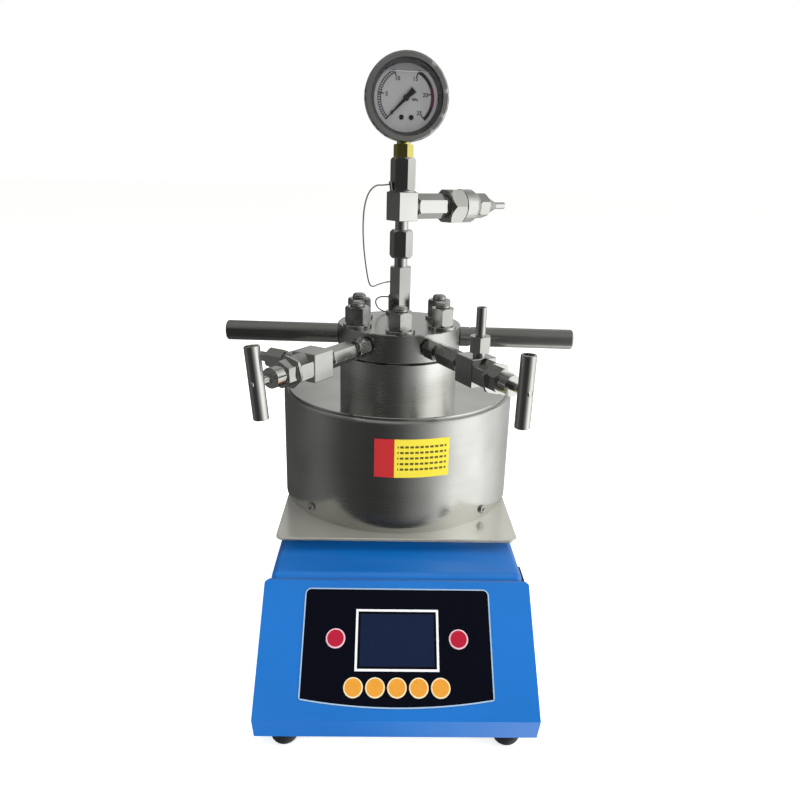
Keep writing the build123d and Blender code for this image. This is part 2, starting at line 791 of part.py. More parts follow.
# ---------------------------------------------------------------- vessel
liner_outer = bore_radius - 0.1
liner_inner = liner_outer - liner_wall
bore_bottom = disc_top - vessel_depth + vessel_floor
liner_rim = 31.0
liner_rim_thickness = 2.5
stud_depth = 22.0
stud_spots = [60.0 * i + 30.0 for i in range(stud_count)]
with BuildPart() as vessel:
    add(turned((
        (0, disc_top - vessel_depth), (vessel_radius - 2, disc_top - vessel_depth),
        (vessel_radius, disc_top - vessel_depth + 2), (vessel_radius, disc_top),
        (flange_radius, disc_top), (flange_radius, flange_top - 0.6),
        (flange_radius - 0.6, flange_top), (liner_rim + 0.1, flange_top),
        (liner_rim + 0.1, flange_top - liner_rim_thickness),
        (bore_radius, flange_top - liner_rim_thickness), (bore_radius, bore_bottom), (0, bore_bottom),
    )).part)
    with BuildSketch(level(flange_top)):
        with PolarLocations(stud_circle, stud_count, start_angle=stud_spots[0]):
            Circle(stud_radius + fit_gap)
    extrude(amount=-stud_depth, mode=Mode.SUBTRACT)
keep(vessel.part, "vessel_body")

liner = turned((
    (0, bore_bottom), (liner_outer, bore_bottom), (liner_outer, flange_top - liner_rim_thickness),
    (liner_rim, flange_top - liner_rim_thickness), (liner_rim, flange_top),
    (liner_inner, flange_top), (liner_inner, bore_bottom + liner_floor), (0, bore_bottom + liner_floor),
))
keep(liner.part, "vessel_liner")

bar_magnet_radius = 4.0
bar_magnet_length = 30.0
bar_level = bore_bottom + liner_floor + seat_gap + bar_magnet_radius
with BuildPart() as stir_bar:
    with BuildSketch(Plane(origin=(0, axis_y, bar_level), x_dir=(1, 0, 0), z_dir=(0, 0, 1))):
        with BuildLine():
            run = bar_magnet_length / 2 - bar_magnet_radius
            Polyline((-run - bar_magnet_radius, 0), (run + bar_magnet_radius, 0))
            RadiusArc((run + bar_magnet_radius, 0), (run, bar_magnet_radius), -bar_magnet_radius)
            Line((run, bar_magnet_radius), (-run, bar_magnet_radius))
            RadiusArc((-run, bar_magnet_radius), (-run - bar_magnet_radius, 0), -bar_magnet_radius)
        make_face()
    revolve(axis=Axis((0, axis_y, bar_level), (1, 0, 0)))
keep(stir_bar.part, "stir_bar")

stud_hole = stud_radius + 0.6
with BuildPart() as gasket:
    with BuildSketch(level(flange_top)):
        Circle(gasket_radius)
        Circle(liner_inner, mode=Mode.SUBTRACT)
        with PolarLocations(stud_circle, stud_count, start_angle=stud_spots[0]):
            Circle(stud_hole, mode=Mode.SUBTRACT)
    extrude(amount=gasket_thickness)
keep(gasket.part, "lid_gasket")

# ---------------------------------------------------------------- lid
port_radius = 6.0
port_depth = 12.0
spigot_radius = 5.0
spigot_depth = 10.0
gas_way = 22.0                  # gas passages inside the edge of the lid
handle_turns = (lid_turn, 180.0 + lid_turn)
with BuildPart() as lid:
    with BuildSketch(level(lid_bottom)):
        Circle(lid_radius)
    extrude(amount=lid_height)
    chamfer(lid.edges().filter_by(GeomType.CIRCLE), length=0.7)
    with BuildSketch(level(lid_top)):
        with PolarLocations(stud_circle, stud_count, start_angle=stud_spots[0]):
            Circle(stud_hole)
    extrude(amount=-lid_height, mode=Mode.SUBTRACT)
    with BuildSketch(level(lid_top)):
        Circle(port_radius + fit_gap)
    extrude(amount=-port_depth, mode=Mode.SUBTRACT)
    with BuildSketch(level(lid_top)):
        Circle(valve_bore)
    extrude(amount=-lid_height, mode=Mode.SUBTRACT)
    for turn in (*handle_turns, *valve_turns):
        with BuildSketch(radial(turn, side_level, lid_radius)):
            Circle(spigot_radius + fit_gap)
        extrude(amount=-spigot_depth - 0.5, mode=Mode.SUBTRACT)
    for turn in valve_turns:
        with BuildSketch(radial(turn, side_level, lid_radius - spigot_depth)):
            Circle(valve_bore)
        extrude(amount=spigot_depth - gas_way - 2, mode=Mode.SUBTRACT)
        with BuildSketch(level(side_level, turn)):
            with Locations((lid_radius - gas_way, 0)):
                Circle(valve_bore)
        extrude(amount=-(side_level - lid_bottom), mode=Mode.SUBTRACT)
keep(lid.part, "lid")

with BuildPart() as studs:
    for turn in stud_spots:
        with BuildSketch(level(flange_top - stud_depth + 0.5, turn)):
            with Locations((stud_circle, 0)):
                Circle(stud_radius)
        extrude(amount=stud_top - flange_top + stud_depth - 0.5)
    fillet(studs.edges().group_by(Axis.Z)[-1], radius=3.0)
keep(studs.part, "lid_studs")

with BuildPart() as washers:
    for turn in stud_spots:
        with BuildSketch(level(lid_top, turn)):
            with Locations((stud_circle, 0)):
                Circle(washer_radius)
                Circle(stud_radius + 0.5, mode=Mode.SUBTRACT)
        extrude(amount=washer_thickness)
    washer_tops = washers.edges().group_by(Axis.Z)[-1]
    chamfer(washer_tops.filter_by(lambda e: e.radius > stud_radius + 1), length=0.5)
keep(washers.part, "lid_washers")


def hexagon(plane, flats, height, turn=0.0, ease=1.0, ends=(True, True)):
    """A hexagon bar whose corners are turned off at its ends; made outside any builder."""
    corner = across_flats(flats)
    with BuildPart(mode=Mode.PRIVATE) as bar:
        with BuildSketch(plane):
            RegularPolygon(corner, 6, rotation=turn)
        extrude(amount=height)
        square = plane.x_dir.cross(plane.z_dir)
        with BuildSketch(Plane(origin=plane.origin, x_dir=plane.x_dir, z_dir=square)):
            drop = ease * tan(radians(30)) * 2
            low = drop if ends[0] else 0
            high = height - (drop if ends[1] else 0)
            with BuildLine():
                Polyline(
                    (0, 0), (corner - (ease if ends[0] else 0), 0), (corner, low), (corner, high),
                    (corner - (ease if ends[1] else 0), height), (0, height), close=True,
                )
            make_face()
        revolve(axis=Axis(plane.origin, plane.z_dir), mode=Mode.INTERSECT)
    return bar.part


nut_turns = (12.0, 40.0, 50.0, 57.5, 28.0, 25.0)
with BuildPart() as nuts:
    for turn, spin in zip(stud_spots, nut_turns):
        spot = level(lid_top + washer_thickness, turn)
        centre = Plane(origin=spot.from_local_coords(Vector(stud_circle, 0, 0)), z_dir=(0, 0, 1))
        add(hexagon(centre, nut_flats, nut_height, spin, ease=1.2))
        with BuildSketch(centre):
            Circle(stud_radius + fit_gap)
        extrude(amount=nut_height, mode=Mode.SUBTRACT)
keep(nuts.part, "lid_nuts")

collar_length = 8.0
with BuildPart() as handles:
    for turn in handle_turns:
        with BuildSketch(radial(turn, side_level, lid_radius)):
            Circle(handle_radius)
        extrude(amount=handle_reach - lid_radius)
        with BuildSketch(radial(turn, side_level, lid_radius - spigot_depth)):
            Circle(spigot_radius)
        extrude(amount=spigot_depth)
    ends = handles.edges().filter_by(GeomType.CIRCLE).group_by(Axis.X)
    chamfer(ends[0] + ends[-1], length=1.2)
    with BuildSketch(radial(lid_turn, side_level, lid_radius + collar_length)):
        Circle(handle_radius + 1)
        Circle(handle_radius - 0.8, mode=Mode.SUBTRACT)
    extrude(amount=1.2, mode=Mode.SUBTRACT)
keep(handles.part, "lid_handles")

# ---------------------------------------------------------------- needle valves
gland_flats = 14.5
nipple_flats = 14.5
outlet_flats = 14.0
neck_radius = 4.6
thread_radius = 5.0
block_start = gland_start + gland_length + neck_length + nipple_length + nipple_gap
block_end = block_start + block_long
block_middle = (block_start + block_end) / 2
bar_place = block_end + bar_reach
outlet_place = block_middle + outlet_ahead
thread_depth = 7.0
bonnet_thread = 7.0
bonnet_depth = 6.0
barrel_flats = 19.53
barrel_length = 14.0
lock_flats = 21.0
lock_thickness = 2.5
bonnet_nut_flats = 17.0
bonnet_nut_length = 9.0
cap_radius = 7.3
cap_length = 10.0
seat_place = block_middle
spigot_end_radius = 2.2
bar_core = 8.0                  # solid middle of the T-bar, each way
union_length = 7.0
outlet_thread = 4.0             # radius and depth of the outlet's thread in the block
outlet_thread_depth = 3.0
riser_length = 3.3
# Side outlet of the first valve, upright outlet of the second
outlet_sides = ("side", "up")


def across(plane, side):
    """The outlet's plane on a valve's block: to its left or upwards."""
    z_dir = plane.y_dir if side == "side" else plane.x_dir
    return Plane(origin=plane.origin, x_dir=plane.z_dir, z_dir=z_dir)


with BuildPart() as inlets:
    for turn in valve_turns:
        with BuildSketch(radial(turn, side_level, lid_radius - spigot_depth)):
            Circle(spigot_radius)
        extrude(amount=spigot_depth)
        with BuildSketch(radial(turn, side_level, lid_radius)):
            Circle(neck_radius)
        extrude(amount=block_start - lid_radius)
        add(hexagon(radial(turn, side_level, gland_start), gland_flats, gland_length, 15, ease=0.8))
        nipple_start = gland_start + gland_length + neck_length
        add(hexagon(radial(turn, side_level, nipple_start), nipple_flats, nipple_length, 15, ease=0.8))
        with BuildSketch(radial(turn, side_level, block_start)):
            Circle(thread_radius)
        extrude(amount=thread_depth)
        with BuildSketch(radial(turn, side_level, lid_radius - spigot_depth)):
            Circle(valve_bore)
        extrude(amount=block_start + thread_depth - lid_radius + spigot_depth, mode=Mode.SUBTRACT)
keep(inlets.part, "valve_inlets")

with BuildPart() as blocks:
    for turn in valve_turns:
        with BuildSketch(radial(turn, side_level, block_start)):
            Rectangle(block_tall, block_wide)
        extrude(amount=block_long)
    chamfer(blocks.edges(), length=0.6)
    for turn, side in zip(valve_turns, outlet_sides):
        with BuildSketch(radial(turn, side_level, block_start)):
            Circle(thread_radius + fit_gap)
        extrude(amount=thread_depth + seat_gap, mode=Mode.SUBTRACT)
        with BuildSketch(radial(turn, side_level, block_start)):
            Circle(valve_bore)
        extrude(amount=block_long, mode=Mode.SUBTRACT)
        with BuildSketch(radial(turn, side_level, block_end)):
            Circle(bonnet_thread + fit_gap)
        extrude(amount=-bonnet_depth - seat_gap, mode=Mode.SUBTRACT)
        with BuildSketch(radial(turn, side_level, block_end)):
            Circle(stem_radius + 0.6)
        extrude(amount=-(block_end - seat_place), mode=Mode.SUBTRACT)
        reach = block_wide / 2 if side == "side" else block_tall / 2
        out = across(radial(turn, side_level, outlet_place), side)
        with BuildSketch(out.offset(reach)):
            Circle(outlet_thread + fit_gap)
        extrude(amount=-outlet_thread_depth - seat_gap, mode=Mode.SUBTRACT)
        with BuildSketch(out):
            Circle(valve_bore)
        extrude(amount=reach, mode=Mode.SUBTRACT)
keep(blocks.part, "valve_blocks")

lock_start = block_end + barrel_length
bonnet_nut_start = lock_start + lock_thickness
cap_start = bonnet_nut_start + bonnet_nut_length
cap_end = cap_start + cap_length
with BuildPart() as bonnets:
    for turn in valve_turns:
        with BuildSketch(radial(turn, side_level, block_end)):
            Circle(bonnet_thread)
        extrude(amount=-bonnet_depth)
        add(hexagon(radial(turn, side_level, block_end), barrel_flats, barrel_length, 0, ease=0.9))
        add(hexagon(radial(turn, side_level, lock_start), lock_flats, lock_thickness, 15, ease=0.8))
        add(hexagon(
            radial(turn, side_level, bonnet_nut_start), bonnet_nut_flats, bonnet_nut_length, 5, ease=0.8,
        ))
        with BuildSketch(radial(turn, side_level, cap_start)):
            Circle(cap_radius)
        extrude(amount=cap_length)
        with BuildSketch(radial(turn, side_level, block_end - bonnet_depth)):
            Circle(stem_radius + fit_gap)
        extrude(amount=cap_end - block_end + bonnet_depth, mode=Mode.SUBTRACT)
keep(bonnets.part, "valve_bonnets")

for turn, tilt, end in zip(valve_turns, valve_tilts, ("left", "right")):
    with BuildPart() as stem:
        with BuildSketch(radial(turn, side_level, seat_place + 3)):
            Circle(stem_radius)
        extrude(amount=bar_place - bar_radius - 0.2 - seat_place - 3)
        with BuildSketch(radial(turn, side_level, seat_place + 3)):
            Circle(stem_radius)
        extrude(amount=-2.5, taper=38)
        with BuildSketch(radial(turn, side_level, bar_place - bar_radius - 0.2)):
            Circle(spigot_end_radius)
        extrude(amount=2 * bar_radius + 0.2)
    keep(stem.part, f"{end}_valve_stem")

    along = radial(turn, side_level, bar_place)
    lean = radians(tilt)
    bar_dir = along.x_dir * cos(lean) + along.y_dir * sin(lean)
    with BuildPart() as bar:
        with BuildSketch(Plane(origin=along.origin, x_dir=along.z_dir, z_dir=bar_dir)):
            Circle(bar_radius)
        extrude(amount=bar_length / 2, both=True)
        chamfer(bar.edges().filter_by(GeomType.CIRCLE), length=0.4)
        for start in (bar_core, -bar_core):
            with BuildSketch(Plane(origin=along.origin, x_dir=along.z_dir, z_dir=bar_dir).offset(start)):
                Circle(bar_radius - bar_wall)
            extrude(amount=bar_length if start > 0 else -bar_length, mode=Mode.SUBTRACT)
        with BuildSketch(along.offset(-bar_radius)):
            Circle(spigot_end_radius + fit_gap)
        extrude(amount=2 * bar_radius, mode=Mode.SUBTRACT)
    keep(bar.part, f"{end}_valve_handle")

gland_reach = 11.7
tube_socket = 7.5               # tube held inside its gland
tube_step = 0.3                 # a tube is this much smaller in its gland
tube_relief = 0.5               # and for this far outside it
with BuildPart() as outlet_nuts:
    for turn, side in zip(valve_turns, outlet_sides):
        out = across(radial(turn, side_level, outlet_place), side)
        reach = block_wide / 2 if side == "side" else block_tall / 2
        neck = union_length + 4 if side == "side" else riser_length
        with BuildSketch(out.offset(reach)):
            Circle(outlet_thread)
        extrude(amount=-outlet_thread_depth)
        with BuildSketch(out.offset(reach)):
            Circle(neck_radius)
        extrude(amount=neck)
        if side == "side":
            add(hexagon(out.offset(reach + 2), outlet_flats, union_length, 0, ease=0.8))
        gland = gland_length if side == "side" else gland_reach
        add(hexagon(out.offset(reach + neck), outlet_flats, gland, 28, ease=0.8))
        with BuildSketch(out.offset(reach - outlet_thread_depth)):
            Circle(valve_bore)
        extrude(amount=neck + gland + outlet_thread_depth, mode=Mode.SUBTRACT)
        with BuildSketch(out.offset(reach + neck + gland)):
            Circle(outlet_tube_radius - tube_step + fit_gap)
        extrude(amount=-tube_socket - seat_gap, mode=Mode.SUBTRACT)
keep(outlet_nuts.part, "outlet_nuts")

# ---------------------------------------------------------------- gauge column
column_turn = 25.0
middle_turn = -8.0
with BuildPart() as column:
    with BuildSketch(level(lid_top - port_depth + 1)):
        Circle(port_radius)
    extrude(amount=port_depth - 1)
    add(hexagon(level(lid_top), column_flats, column_height, column_turn, ease=0.8))
    with BuildSketch(level(column_top)):
        Circle(neck_radius + 0.9)
    extrude(amount=short_neck)
    with BuildSketch(level(lid_top - port_depth)):
        Circle(valve_bore)
    extrude(amount=column_height + short_neck + port_depth, mode=Mode.SUBTRACT)
keep(column.part, "gauge_column")

with BuildPart() as coupling:
    add(hexagon(level(coupling_bottom), column_flats, coupling_height, middle_turn, ease=2.0))
    with BuildSketch(level(coupling_top)):
        Circle(neck_radius + 0.9)
    extrude(amount=short_neck)
    with BuildSketch(level(coupling_bottom)):
        Circle(valve_bore)
    extrude(amount=coupling_height + short_neck, mode=Mode.SUBTRACT)
keep(coupling.part, "column_coupling")

branch_thread = 6.0
branch_depth = 5.0
with BuildPart() as tee:
    with BuildSketch(level(tee_bottom, tee_turn)):
        Rectangle(tee_side, tee_side)
    extrude(amount=tee_height)
    chamfer(tee.edges(), length=0.5)
    with BuildSketch(level(tee_bottom)):
        Circle(valve_bore)
    extrude(amount=tee_height, mode=Mode.SUBTRACT)
    with BuildSketch(radial(tee_turn, branch_level, tee_side / 2)):
        Circle(branch_thread + fit_gap)
    extrude(amount=-branch_depth, mode=Mode.SUBTRACT)
    with BuildSketch(radial(tee_turn, branch_level)):
        Circle(valve_bore)
    extrude(amount=tee_side / 2, mode=Mode.SUBTRACT)
keep(tee.part, "tee_block")

ring_thickness = 0.8
ring_outer = 11.0
tab_turn = 196.0
tab_length = 8.0
tab_width = 5.0
tab_rise = 80.0
wire_radius = 0.6
with BuildPart() as tag_ring:
    with BuildSketch(level(tee_top)):
        Circle(ring_outer)
        Circle(4.6, mode=Mode.SUBTRACT)
    extrude(amount=ring_thickness)
    bend = radial(tab_turn, tee_top, ring_outer - 1.2)
    tab_plane = Plane(
        origin=bend.origin,
        x_dir=bend.z_dir * cos(radians(tab_rise)) + Vector(0, 0, sin(radians(tab_rise))),
        z_dir=bend.x_dir * cos(radians(tab_rise)) - bend.z_dir * sin(radians(tab_rise)),
    )
    with BuildSketch(tab_plane):
        with Locations((tab_length / 2, 0)):
            Rectangle(tab_length, tab_width)
        with Locations((tab_length - 2.2, 0)):
            Circle(wire_radius + fit_gap, mode=Mode.SUBTRACT)
    extrude(amount=ring_thickness)
keep(tag_ring.part, "tag_ring")

adapter_flats = 18.0
gauge_thread = 4.5
adapter_bottom = tee_top + ring_thickness
with BuildPart() as adapter:
    add(hexagon(
        level(adapter_bottom), adapter_flats, adapter_top - adapter_bottom, middle_turn, ease=1.6,
    ))
    with BuildSketch(level(adapter_top)):
        Circle(gauge_thread + fit_gap)
    extrude(amount=-12, mode=Mode.SUBTRACT)
    with BuildSketch(level(adapter_bottom)):
        Circle(valve_bore)
    extrude(amount=20, mode=Mode.SUBTRACT)
keep(adapter.part, "gauge_adapter")

# ---------------------------------------------------------------- burst-disc vent
vent_neck = 2.4
vent_nipple = 29.5
vent_waist = 2.5
holder_length = 16.4
barrel_straight = 11.0
barrel_taper = 6.4
cap_hex_length = 11.2
cone_length = 12.0
vent_tube_length = 12.0
vent_steps = (
    tee_side / 2, vent_neck, vent_nipple, vent_waist, holder_length, barrel_straight, barrel_taper,
    cap_hex_length, cone_length,
)
vent = [radial(tee_turn, branch_level, sum(vent_steps[: i + 1])) for i in range(len(vent_steps))]
nipple_hex_flats = 18.0
holder_flats = 27.0
barrel_wide = 14.0
cap_flats = 19.0
vent_tube_radius = 3.0
cone_slope = 24.0
barrel_slope = 28.0
with BuildPart() as holder:
    with BuildSketch(vent[0]):
        Circle(branch_thread)
    extrude(amount=-branch_depth + seat_gap)
    with BuildSketch(vent[0]):
        Circle(branch_thread - 0.4)
    extrude(amount=vent_neck)
    add(hexagon(vent[1], nipple_hex_flats, vent_nipple, 0, ease=1.0))
    with BuildSketch(vent[2]):
        Circle(branch_thread + 2)
    extrude(amount=vent_waist)
    add(hexagon(vent[3], holder_flats, holder_length, 30, ease=2.4))
    with BuildSketch(vent[0].offset(-branch_depth)):
        Circle(valve_bore)
    extrude(amount=branch_depth + sum(vent_steps[1:5]), mode=Mode.SUBTRACT)
keep(holder.part, "burst_holder")

with BuildPart() as burst_cap:
    with BuildSketch(vent[4]):
        Circle(barrel_wide)
    extrude(amount=barrel_straight)
    with BuildSketch(vent[5]):
        Circle(barrel_wide)
    extrude(amount=barrel_taper, taper=barrel_slope)
    add(hexagon(vent[6], cap_flats, cap_hex_length, 10, ease=1.0))
    with BuildSketch(vent[7]):
        Circle(cap_flats / 2 - 0.6)
    extrude(amount=cone_length, taper=cone_slope)
    with BuildSketch(vent[4]):
        Circle(valve_bore)
    extrude(amount=sum(vent_steps[5:]), mode=Mode.SUBTRACT)
    with BuildSketch(vent[8]):
        Circle(vent_tube_radius - tube_step + fit_gap)
    extrude(amount=-tube_socket - seat_gap, mode=Mode.SUBTRACT)
keep(burst_cap.part, "burst_cap")

tube_wall = 1.0
outlet_end = 46.0               # both tubes end here from the middle of their block


def tube(face, radius, length):
    """A tube on the face of its gland, turned down where the gland holds it and just outside."""
    with BuildPart(mode=Mode.PRIVATE) as piece:
        with BuildSketch(face.offset(-tube_socket)):
            Circle(radius - tube_step)
        extrude(amount=tube_socket + tube_relief)
        with BuildSketch(face.offset(tube_relief)):
            Circle(radius)
        extrude(amount=length - tube_relief)
        with BuildSketch(face.offset(-tube_socket)):
            Circle(radius - tube_wall)
        extrude(amount=tube_socket + length, mode=Mode.SUBTRACT)
    return piece.part


with BuildPart() as tubes:
    for turn, side in zip(valve_turns, outlet_sides):
        out = across(radial(turn, side_level, outlet_place), side)
        reach = block_wide / 2 if side == "side" else block_tall / 2
        neck = union_length + 4 + gland_length if side == "side" else riser_length + gland_reach
        add(tube(out.offset(reach + neck), outlet_tube_radius, outlet_end - reach - neck))
    add(tube(vent[8], vent_tube_radius, vent_tube_length))
keep(tubes.part, "outlet_tubes")

# ---------------------------------------------------------------- pressure gauge
gauge_depth = 23.0              # back of the case to the front of its bezel
bezel_depth = 9.0
case_wall = 1.5
dial_radius = 28.8
dial_thickness = 1.0
dial_place = 13.6               # dial's back above the back of the case
window_thickness = 2.0
window_radius = dial_radius + 0.2
bezel_opening = 28.2
bezel_lip = 1.6
case_radius = gauge_radius - 2.0
stem_place = 7.8                # gauge stem's axis above the back of the case
gauge_stem_radius = 5.5
pointer_shaft = 1.0
pointer_reach = 21.5
pointer_tail = 8.5
facing = radians(270.0 + gauge_turn)
face_dir = Vector(cos(facing), sin(facing), 0)
gauge_back = Plane(
    origin=Vector(0, axis_y, gauge_level) - face_dir * stem_place,
    x_dir=(-sin(facing), cos(facing), 0),
    z_dir=face_dir,
)
dial_face = dial_place + dial_thickness
window_place = gauge_depth - bezel_lip - window_thickness


def case_round(points):
    """A turned piece of the gauge from radius and distance above the back of its case."""
    with BuildPart() as piece:
        section = Plane(origin=gauge_back.origin, x_dir=gauge_back.x_dir, z_dir=-gauge_back.y_dir)
        with BuildSketch(section):
            with BuildLine():
                Polyline(*points, close=True)
            make_face()
        revolve(axis=Axis(gauge_back.origin, gauge_back.z_dir))
    return piece


with BuildPart() as gauge_case:
    add(case_round((
        (0, 0), (case_radius - 3, 0), (case_radius, 3), (case_radius, gauge_depth - bezel_depth),
        (gauge_radius, gauge_depth - bezel_depth + 1), (gauge_radius, gauge_depth - 1.2),
        (gauge_radius - 1.2, gauge_depth), (bezel_opening, gauge_depth),
        (bezel_opening, gauge_depth - bezel_lip), (dial_radius + 0.3, gauge_depth - bezel_lip),
        (dial_radius + 0.3, dial_place), (dial_radius - 1.2, dial_place), (dial_radius - 1.2, case_wall),
        (0, case_wall),
    )).part)
    with BuildSketch(level(gauge_level)):
        Circle(gauge_stem_radius + fit_gap)
    extrude(amount=-2 * gauge_radius, mode=Mode.SUBTRACT)
keep(gauge_case.part, "gauge_case")

with BuildPart() as dial:
    with BuildSketch(gauge_back.offset(dial_place)):
        Circle(dial_radius)
        Circle(pointer_shaft + fit_gap, mode=Mode.SUBTRACT)
    extrude(amount=dial_thickness)
keep(dial.part, "gauge_dial")

with BuildPart() as window:
    with BuildSketch(gauge_back.offset(window_place)):
        Circle(window_radius)
    extrude(amount=window_thickness)
keep(window.part, "gauge_window")

movement_wide = 24.0
movement_tall = 18.0
movement_front = dial_place - 2.5
with BuildPart() as gauge_socket:
    with BuildSketch(level(adapter_top - 10)):
        Circle(gauge_thread)
    extrude(amount=10)
    add(hexagon(level(adapter_top), 14.0, brass_height - 1.5, middle_turn, ease=0.6))
    with BuildSketch(level(adapter_top + brass_height - 1.5)):
        Circle(gauge_stem_radius)
    extrude(amount=gauge_level - 8 - adapter_top - brass_height + 1.5)
    # Movement plate behind the dial, which carries the pointer's shaft
    with BuildSketch(gauge_back.offset(case_wall + 1.5)):
        Rectangle(movement_wide, movement_tall)
    extrude(amount=movement_front - case_wall - 1.5)
    with BuildSketch(gauge_back.offset(case_wall + 1.5)):
        Circle(pointer_shaft + fit_gap)
    extrude(amount=movement_front, mode=Mode.SUBTRACT)
keep(gauge_socket.part, "gauge_socket")

pointer_turn = 225.0            # zero of the scale, seen from the front
pointer_lift = 1.4
with BuildPart() as pointer:
    with BuildSketch(gauge_back.offset(dial_place - 8)):
        Circle(pointer_shaft)
    extrude(amount=8 + dial_thickness + pointer_lift)
    with BuildSketch(gauge_back.offset(dial_face + pointer_lift)):
        with BuildLine(Plane.XY):
            c, s = cos(radians(pointer_turn)), sin(radians(pointer_turn))
            hand_points = ((pointer_reach, 0.25), (0, 1.3), (-pointer_tail, 2.6))
            outline = [(x, y) for x, y in hand_points] + [(x, -y) for x, y in reversed(hand_points)]
            Polyline(*[(x * c - y * s, x * s + y * c) for x, y in outline], close=True)
        make_face()
        Circle(2.4)
    extrude(amount=0.6)
    with BuildSketch(gauge_back.offset(dial_face + pointer_lift)):
        Circle(1.5)
    extrude(amount=1.3)
keep(pointer.part, "gauge_pointer")

# ---------------------------------------------------------------- tether wire
# From the hole in the tag, down the left of the column, behind it and to the rear washer
wire_points = [
    (-9.25, 44.85, 373.8), (-15.2, 43.1, 372.7), (-21.8, 40.9, 372.9), (-27.6, 39.1, 367.2),
    (-31.0, 37.9, 356.0), (-31.9, 37.5, 340.0), (-31.0, 38.5, 322.0), (-28.8, 40.9, 304.5),
    (-26.6, 46.0, 292.0), (-23.6, 54.5, 288.4), (-18.4, 63.0, 289.8), (-11.0, 68.5, 291.2),
    (-3.0, 70.1, 291.4), (5.5, 69.9, 290.4), (8.6, 69.7, 286.7), (8.6, 69.3, 281.9),
    (5.5, 68.9, 278.2), (-3.0, 68.5, 277.0), (-11.5, 68.1, 278.2), (-18.2, 69.3, 277.6),
    (-21.6, 75.1, 273.2), (-20.4, 81.5, 267.0), (-16.8, 86.3, 262.4), (-12.4, 88.4, 260.7),
]


def cord_radii(points):
    """Bend radius at each inner point: 0.45 of the shorter run over the tangent of half the turn."""
    radii = []
    for before, here, after in zip(points, points[1:], points[2:]):
        run_in, run_out = Vector(*here) - Vector(*before), Vector(*after) - Vector(*here)
        half_turn = radians(run_in.get_angle(run_out)) / 2
        radii.append(0.45 * min(run_in.length, run_out.length) / tan(half_turn))
    return radii


wire_radii = cord_radii(wire_points)
print("wire bend radii", [round(radius, 1) for radius in wire_radii])
with BuildPart() as wire:
    with BuildLine() as route:
        FilletPolyline(*wire_points, radius=wire_radii)
    with BuildSketch(Plane(origin=wire_points[0], z_dir=Vector(*wire_points[1]) - Vector(*wire_points[0]))):
        Circle(wire_radius)
    sweep(path=route.wires()[0])
wire_length = route.wires()[0].length
print("wire length", round(wire_length, 1), "volume", round(wire.part.volume, 2),
      "expected", round(pi * wire_radius**2 * wire_length, 2))
keep(wire.part, "tether_wire")
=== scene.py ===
"""Hydrothermal reactor on its magnetic stirrer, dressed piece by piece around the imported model."""
from math import cos, pi, radians, sin

import bpy
from mathutils import Matrix, Vector


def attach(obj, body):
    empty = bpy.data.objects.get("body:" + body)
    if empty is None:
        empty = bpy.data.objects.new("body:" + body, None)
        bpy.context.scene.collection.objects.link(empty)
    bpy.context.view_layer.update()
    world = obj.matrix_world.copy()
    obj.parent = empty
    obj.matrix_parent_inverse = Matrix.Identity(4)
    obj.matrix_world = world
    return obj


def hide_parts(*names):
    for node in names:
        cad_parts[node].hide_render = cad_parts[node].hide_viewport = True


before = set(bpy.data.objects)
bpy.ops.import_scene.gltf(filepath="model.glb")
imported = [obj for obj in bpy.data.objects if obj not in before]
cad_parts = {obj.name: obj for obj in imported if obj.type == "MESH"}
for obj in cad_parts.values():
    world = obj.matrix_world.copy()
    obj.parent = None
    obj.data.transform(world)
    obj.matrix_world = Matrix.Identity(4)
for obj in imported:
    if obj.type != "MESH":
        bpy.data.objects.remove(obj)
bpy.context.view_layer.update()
bpy.ops.object.select_all(action="DESELECT")

# ---------------------------------------------------------------- camera and studio
# A camera a little above the lid, and a pale floor.  Steel shows what stands round it, so the
# surroundings are a ring of dark and bright fields, dark to the left and bright to the right.
yaw, pitch, roll = 0.025, 0.313, 0.025
look = Vector((sin(yaw) * cos(pitch), cos(yaw) * cos(pitch), -sin(pitch)))
level_right = Vector((cos(yaw), -sin(yaw), 0))
level_up = level_right.cross(look)
camera_right = cos(roll) * level_right + sin(roll) * level_up
camera_up = -sin(roll) * level_right + cos(roll) * level_up
camera_data = bpy.data.cameras.new("camera")
camera_data.lens = 31.43
camera_data.sensor_width = 36.0
camera = bpy.data.objects.new("camera", camera_data)
camera.matrix_world = (
    Matrix.Translation((-0.0127, -0.5493, 0.3818))
    @ Matrix((camera_right, camera_up, -look)).transposed().to_4x4()
)
bpy.context.scene.collection.objects.link(camera)
bpy.context.scene.camera = camera
bpy.context.scene.view_settings.view_transform = "Standard"

# Brightness of the walls by direction, in degrees from the console side towards the right
walls = (
    (-180, 0.55), (-162, 0.08), (-112, 0.10), (-84, 0.16), (-50, 0.06), (-15, 0.045), (2, 0.07),
    (15, 0.22), (30, 0.38), (46, 0.85), (62, 1.45), (86, 1.5), (106, 1.1), (140, 0.62), (180, 0.55),
)
sky = bpy.data.worlds.new("studio")
bpy.context.scene.world = sky
sky.use_nodes = True
sky_nodes, sky_links = sky.node_tree.nodes, sky.node_tree.links
sky_nodes.clear()
direction = sky_nodes.new("ShaderNodeTexCoord")
apart = sky_nodes.new("ShaderNodeSeparateXYZ")
sky_links.new(direction.outputs["Generated"], apart.inputs[0])
toward = sky_nodes.new("ShaderNodeMath")
toward.operation = "MULTIPLY"
toward.inputs[1].default_value = -1.0
sky_links.new(apart.outputs["Y"], toward.inputs[0])
around = sky_nodes.new("ShaderNodeMath")
around.operation = "ARCTAN2"
sky_links.new(apart.outputs["X"], around.inputs[0])
sky_links.new(toward.outputs[0], around.inputs[1])
share = sky_nodes.new("ShaderNodeMapRange")
share.inputs["From Min"].default_value = -pi
share.inputs["From Max"].default_value = pi
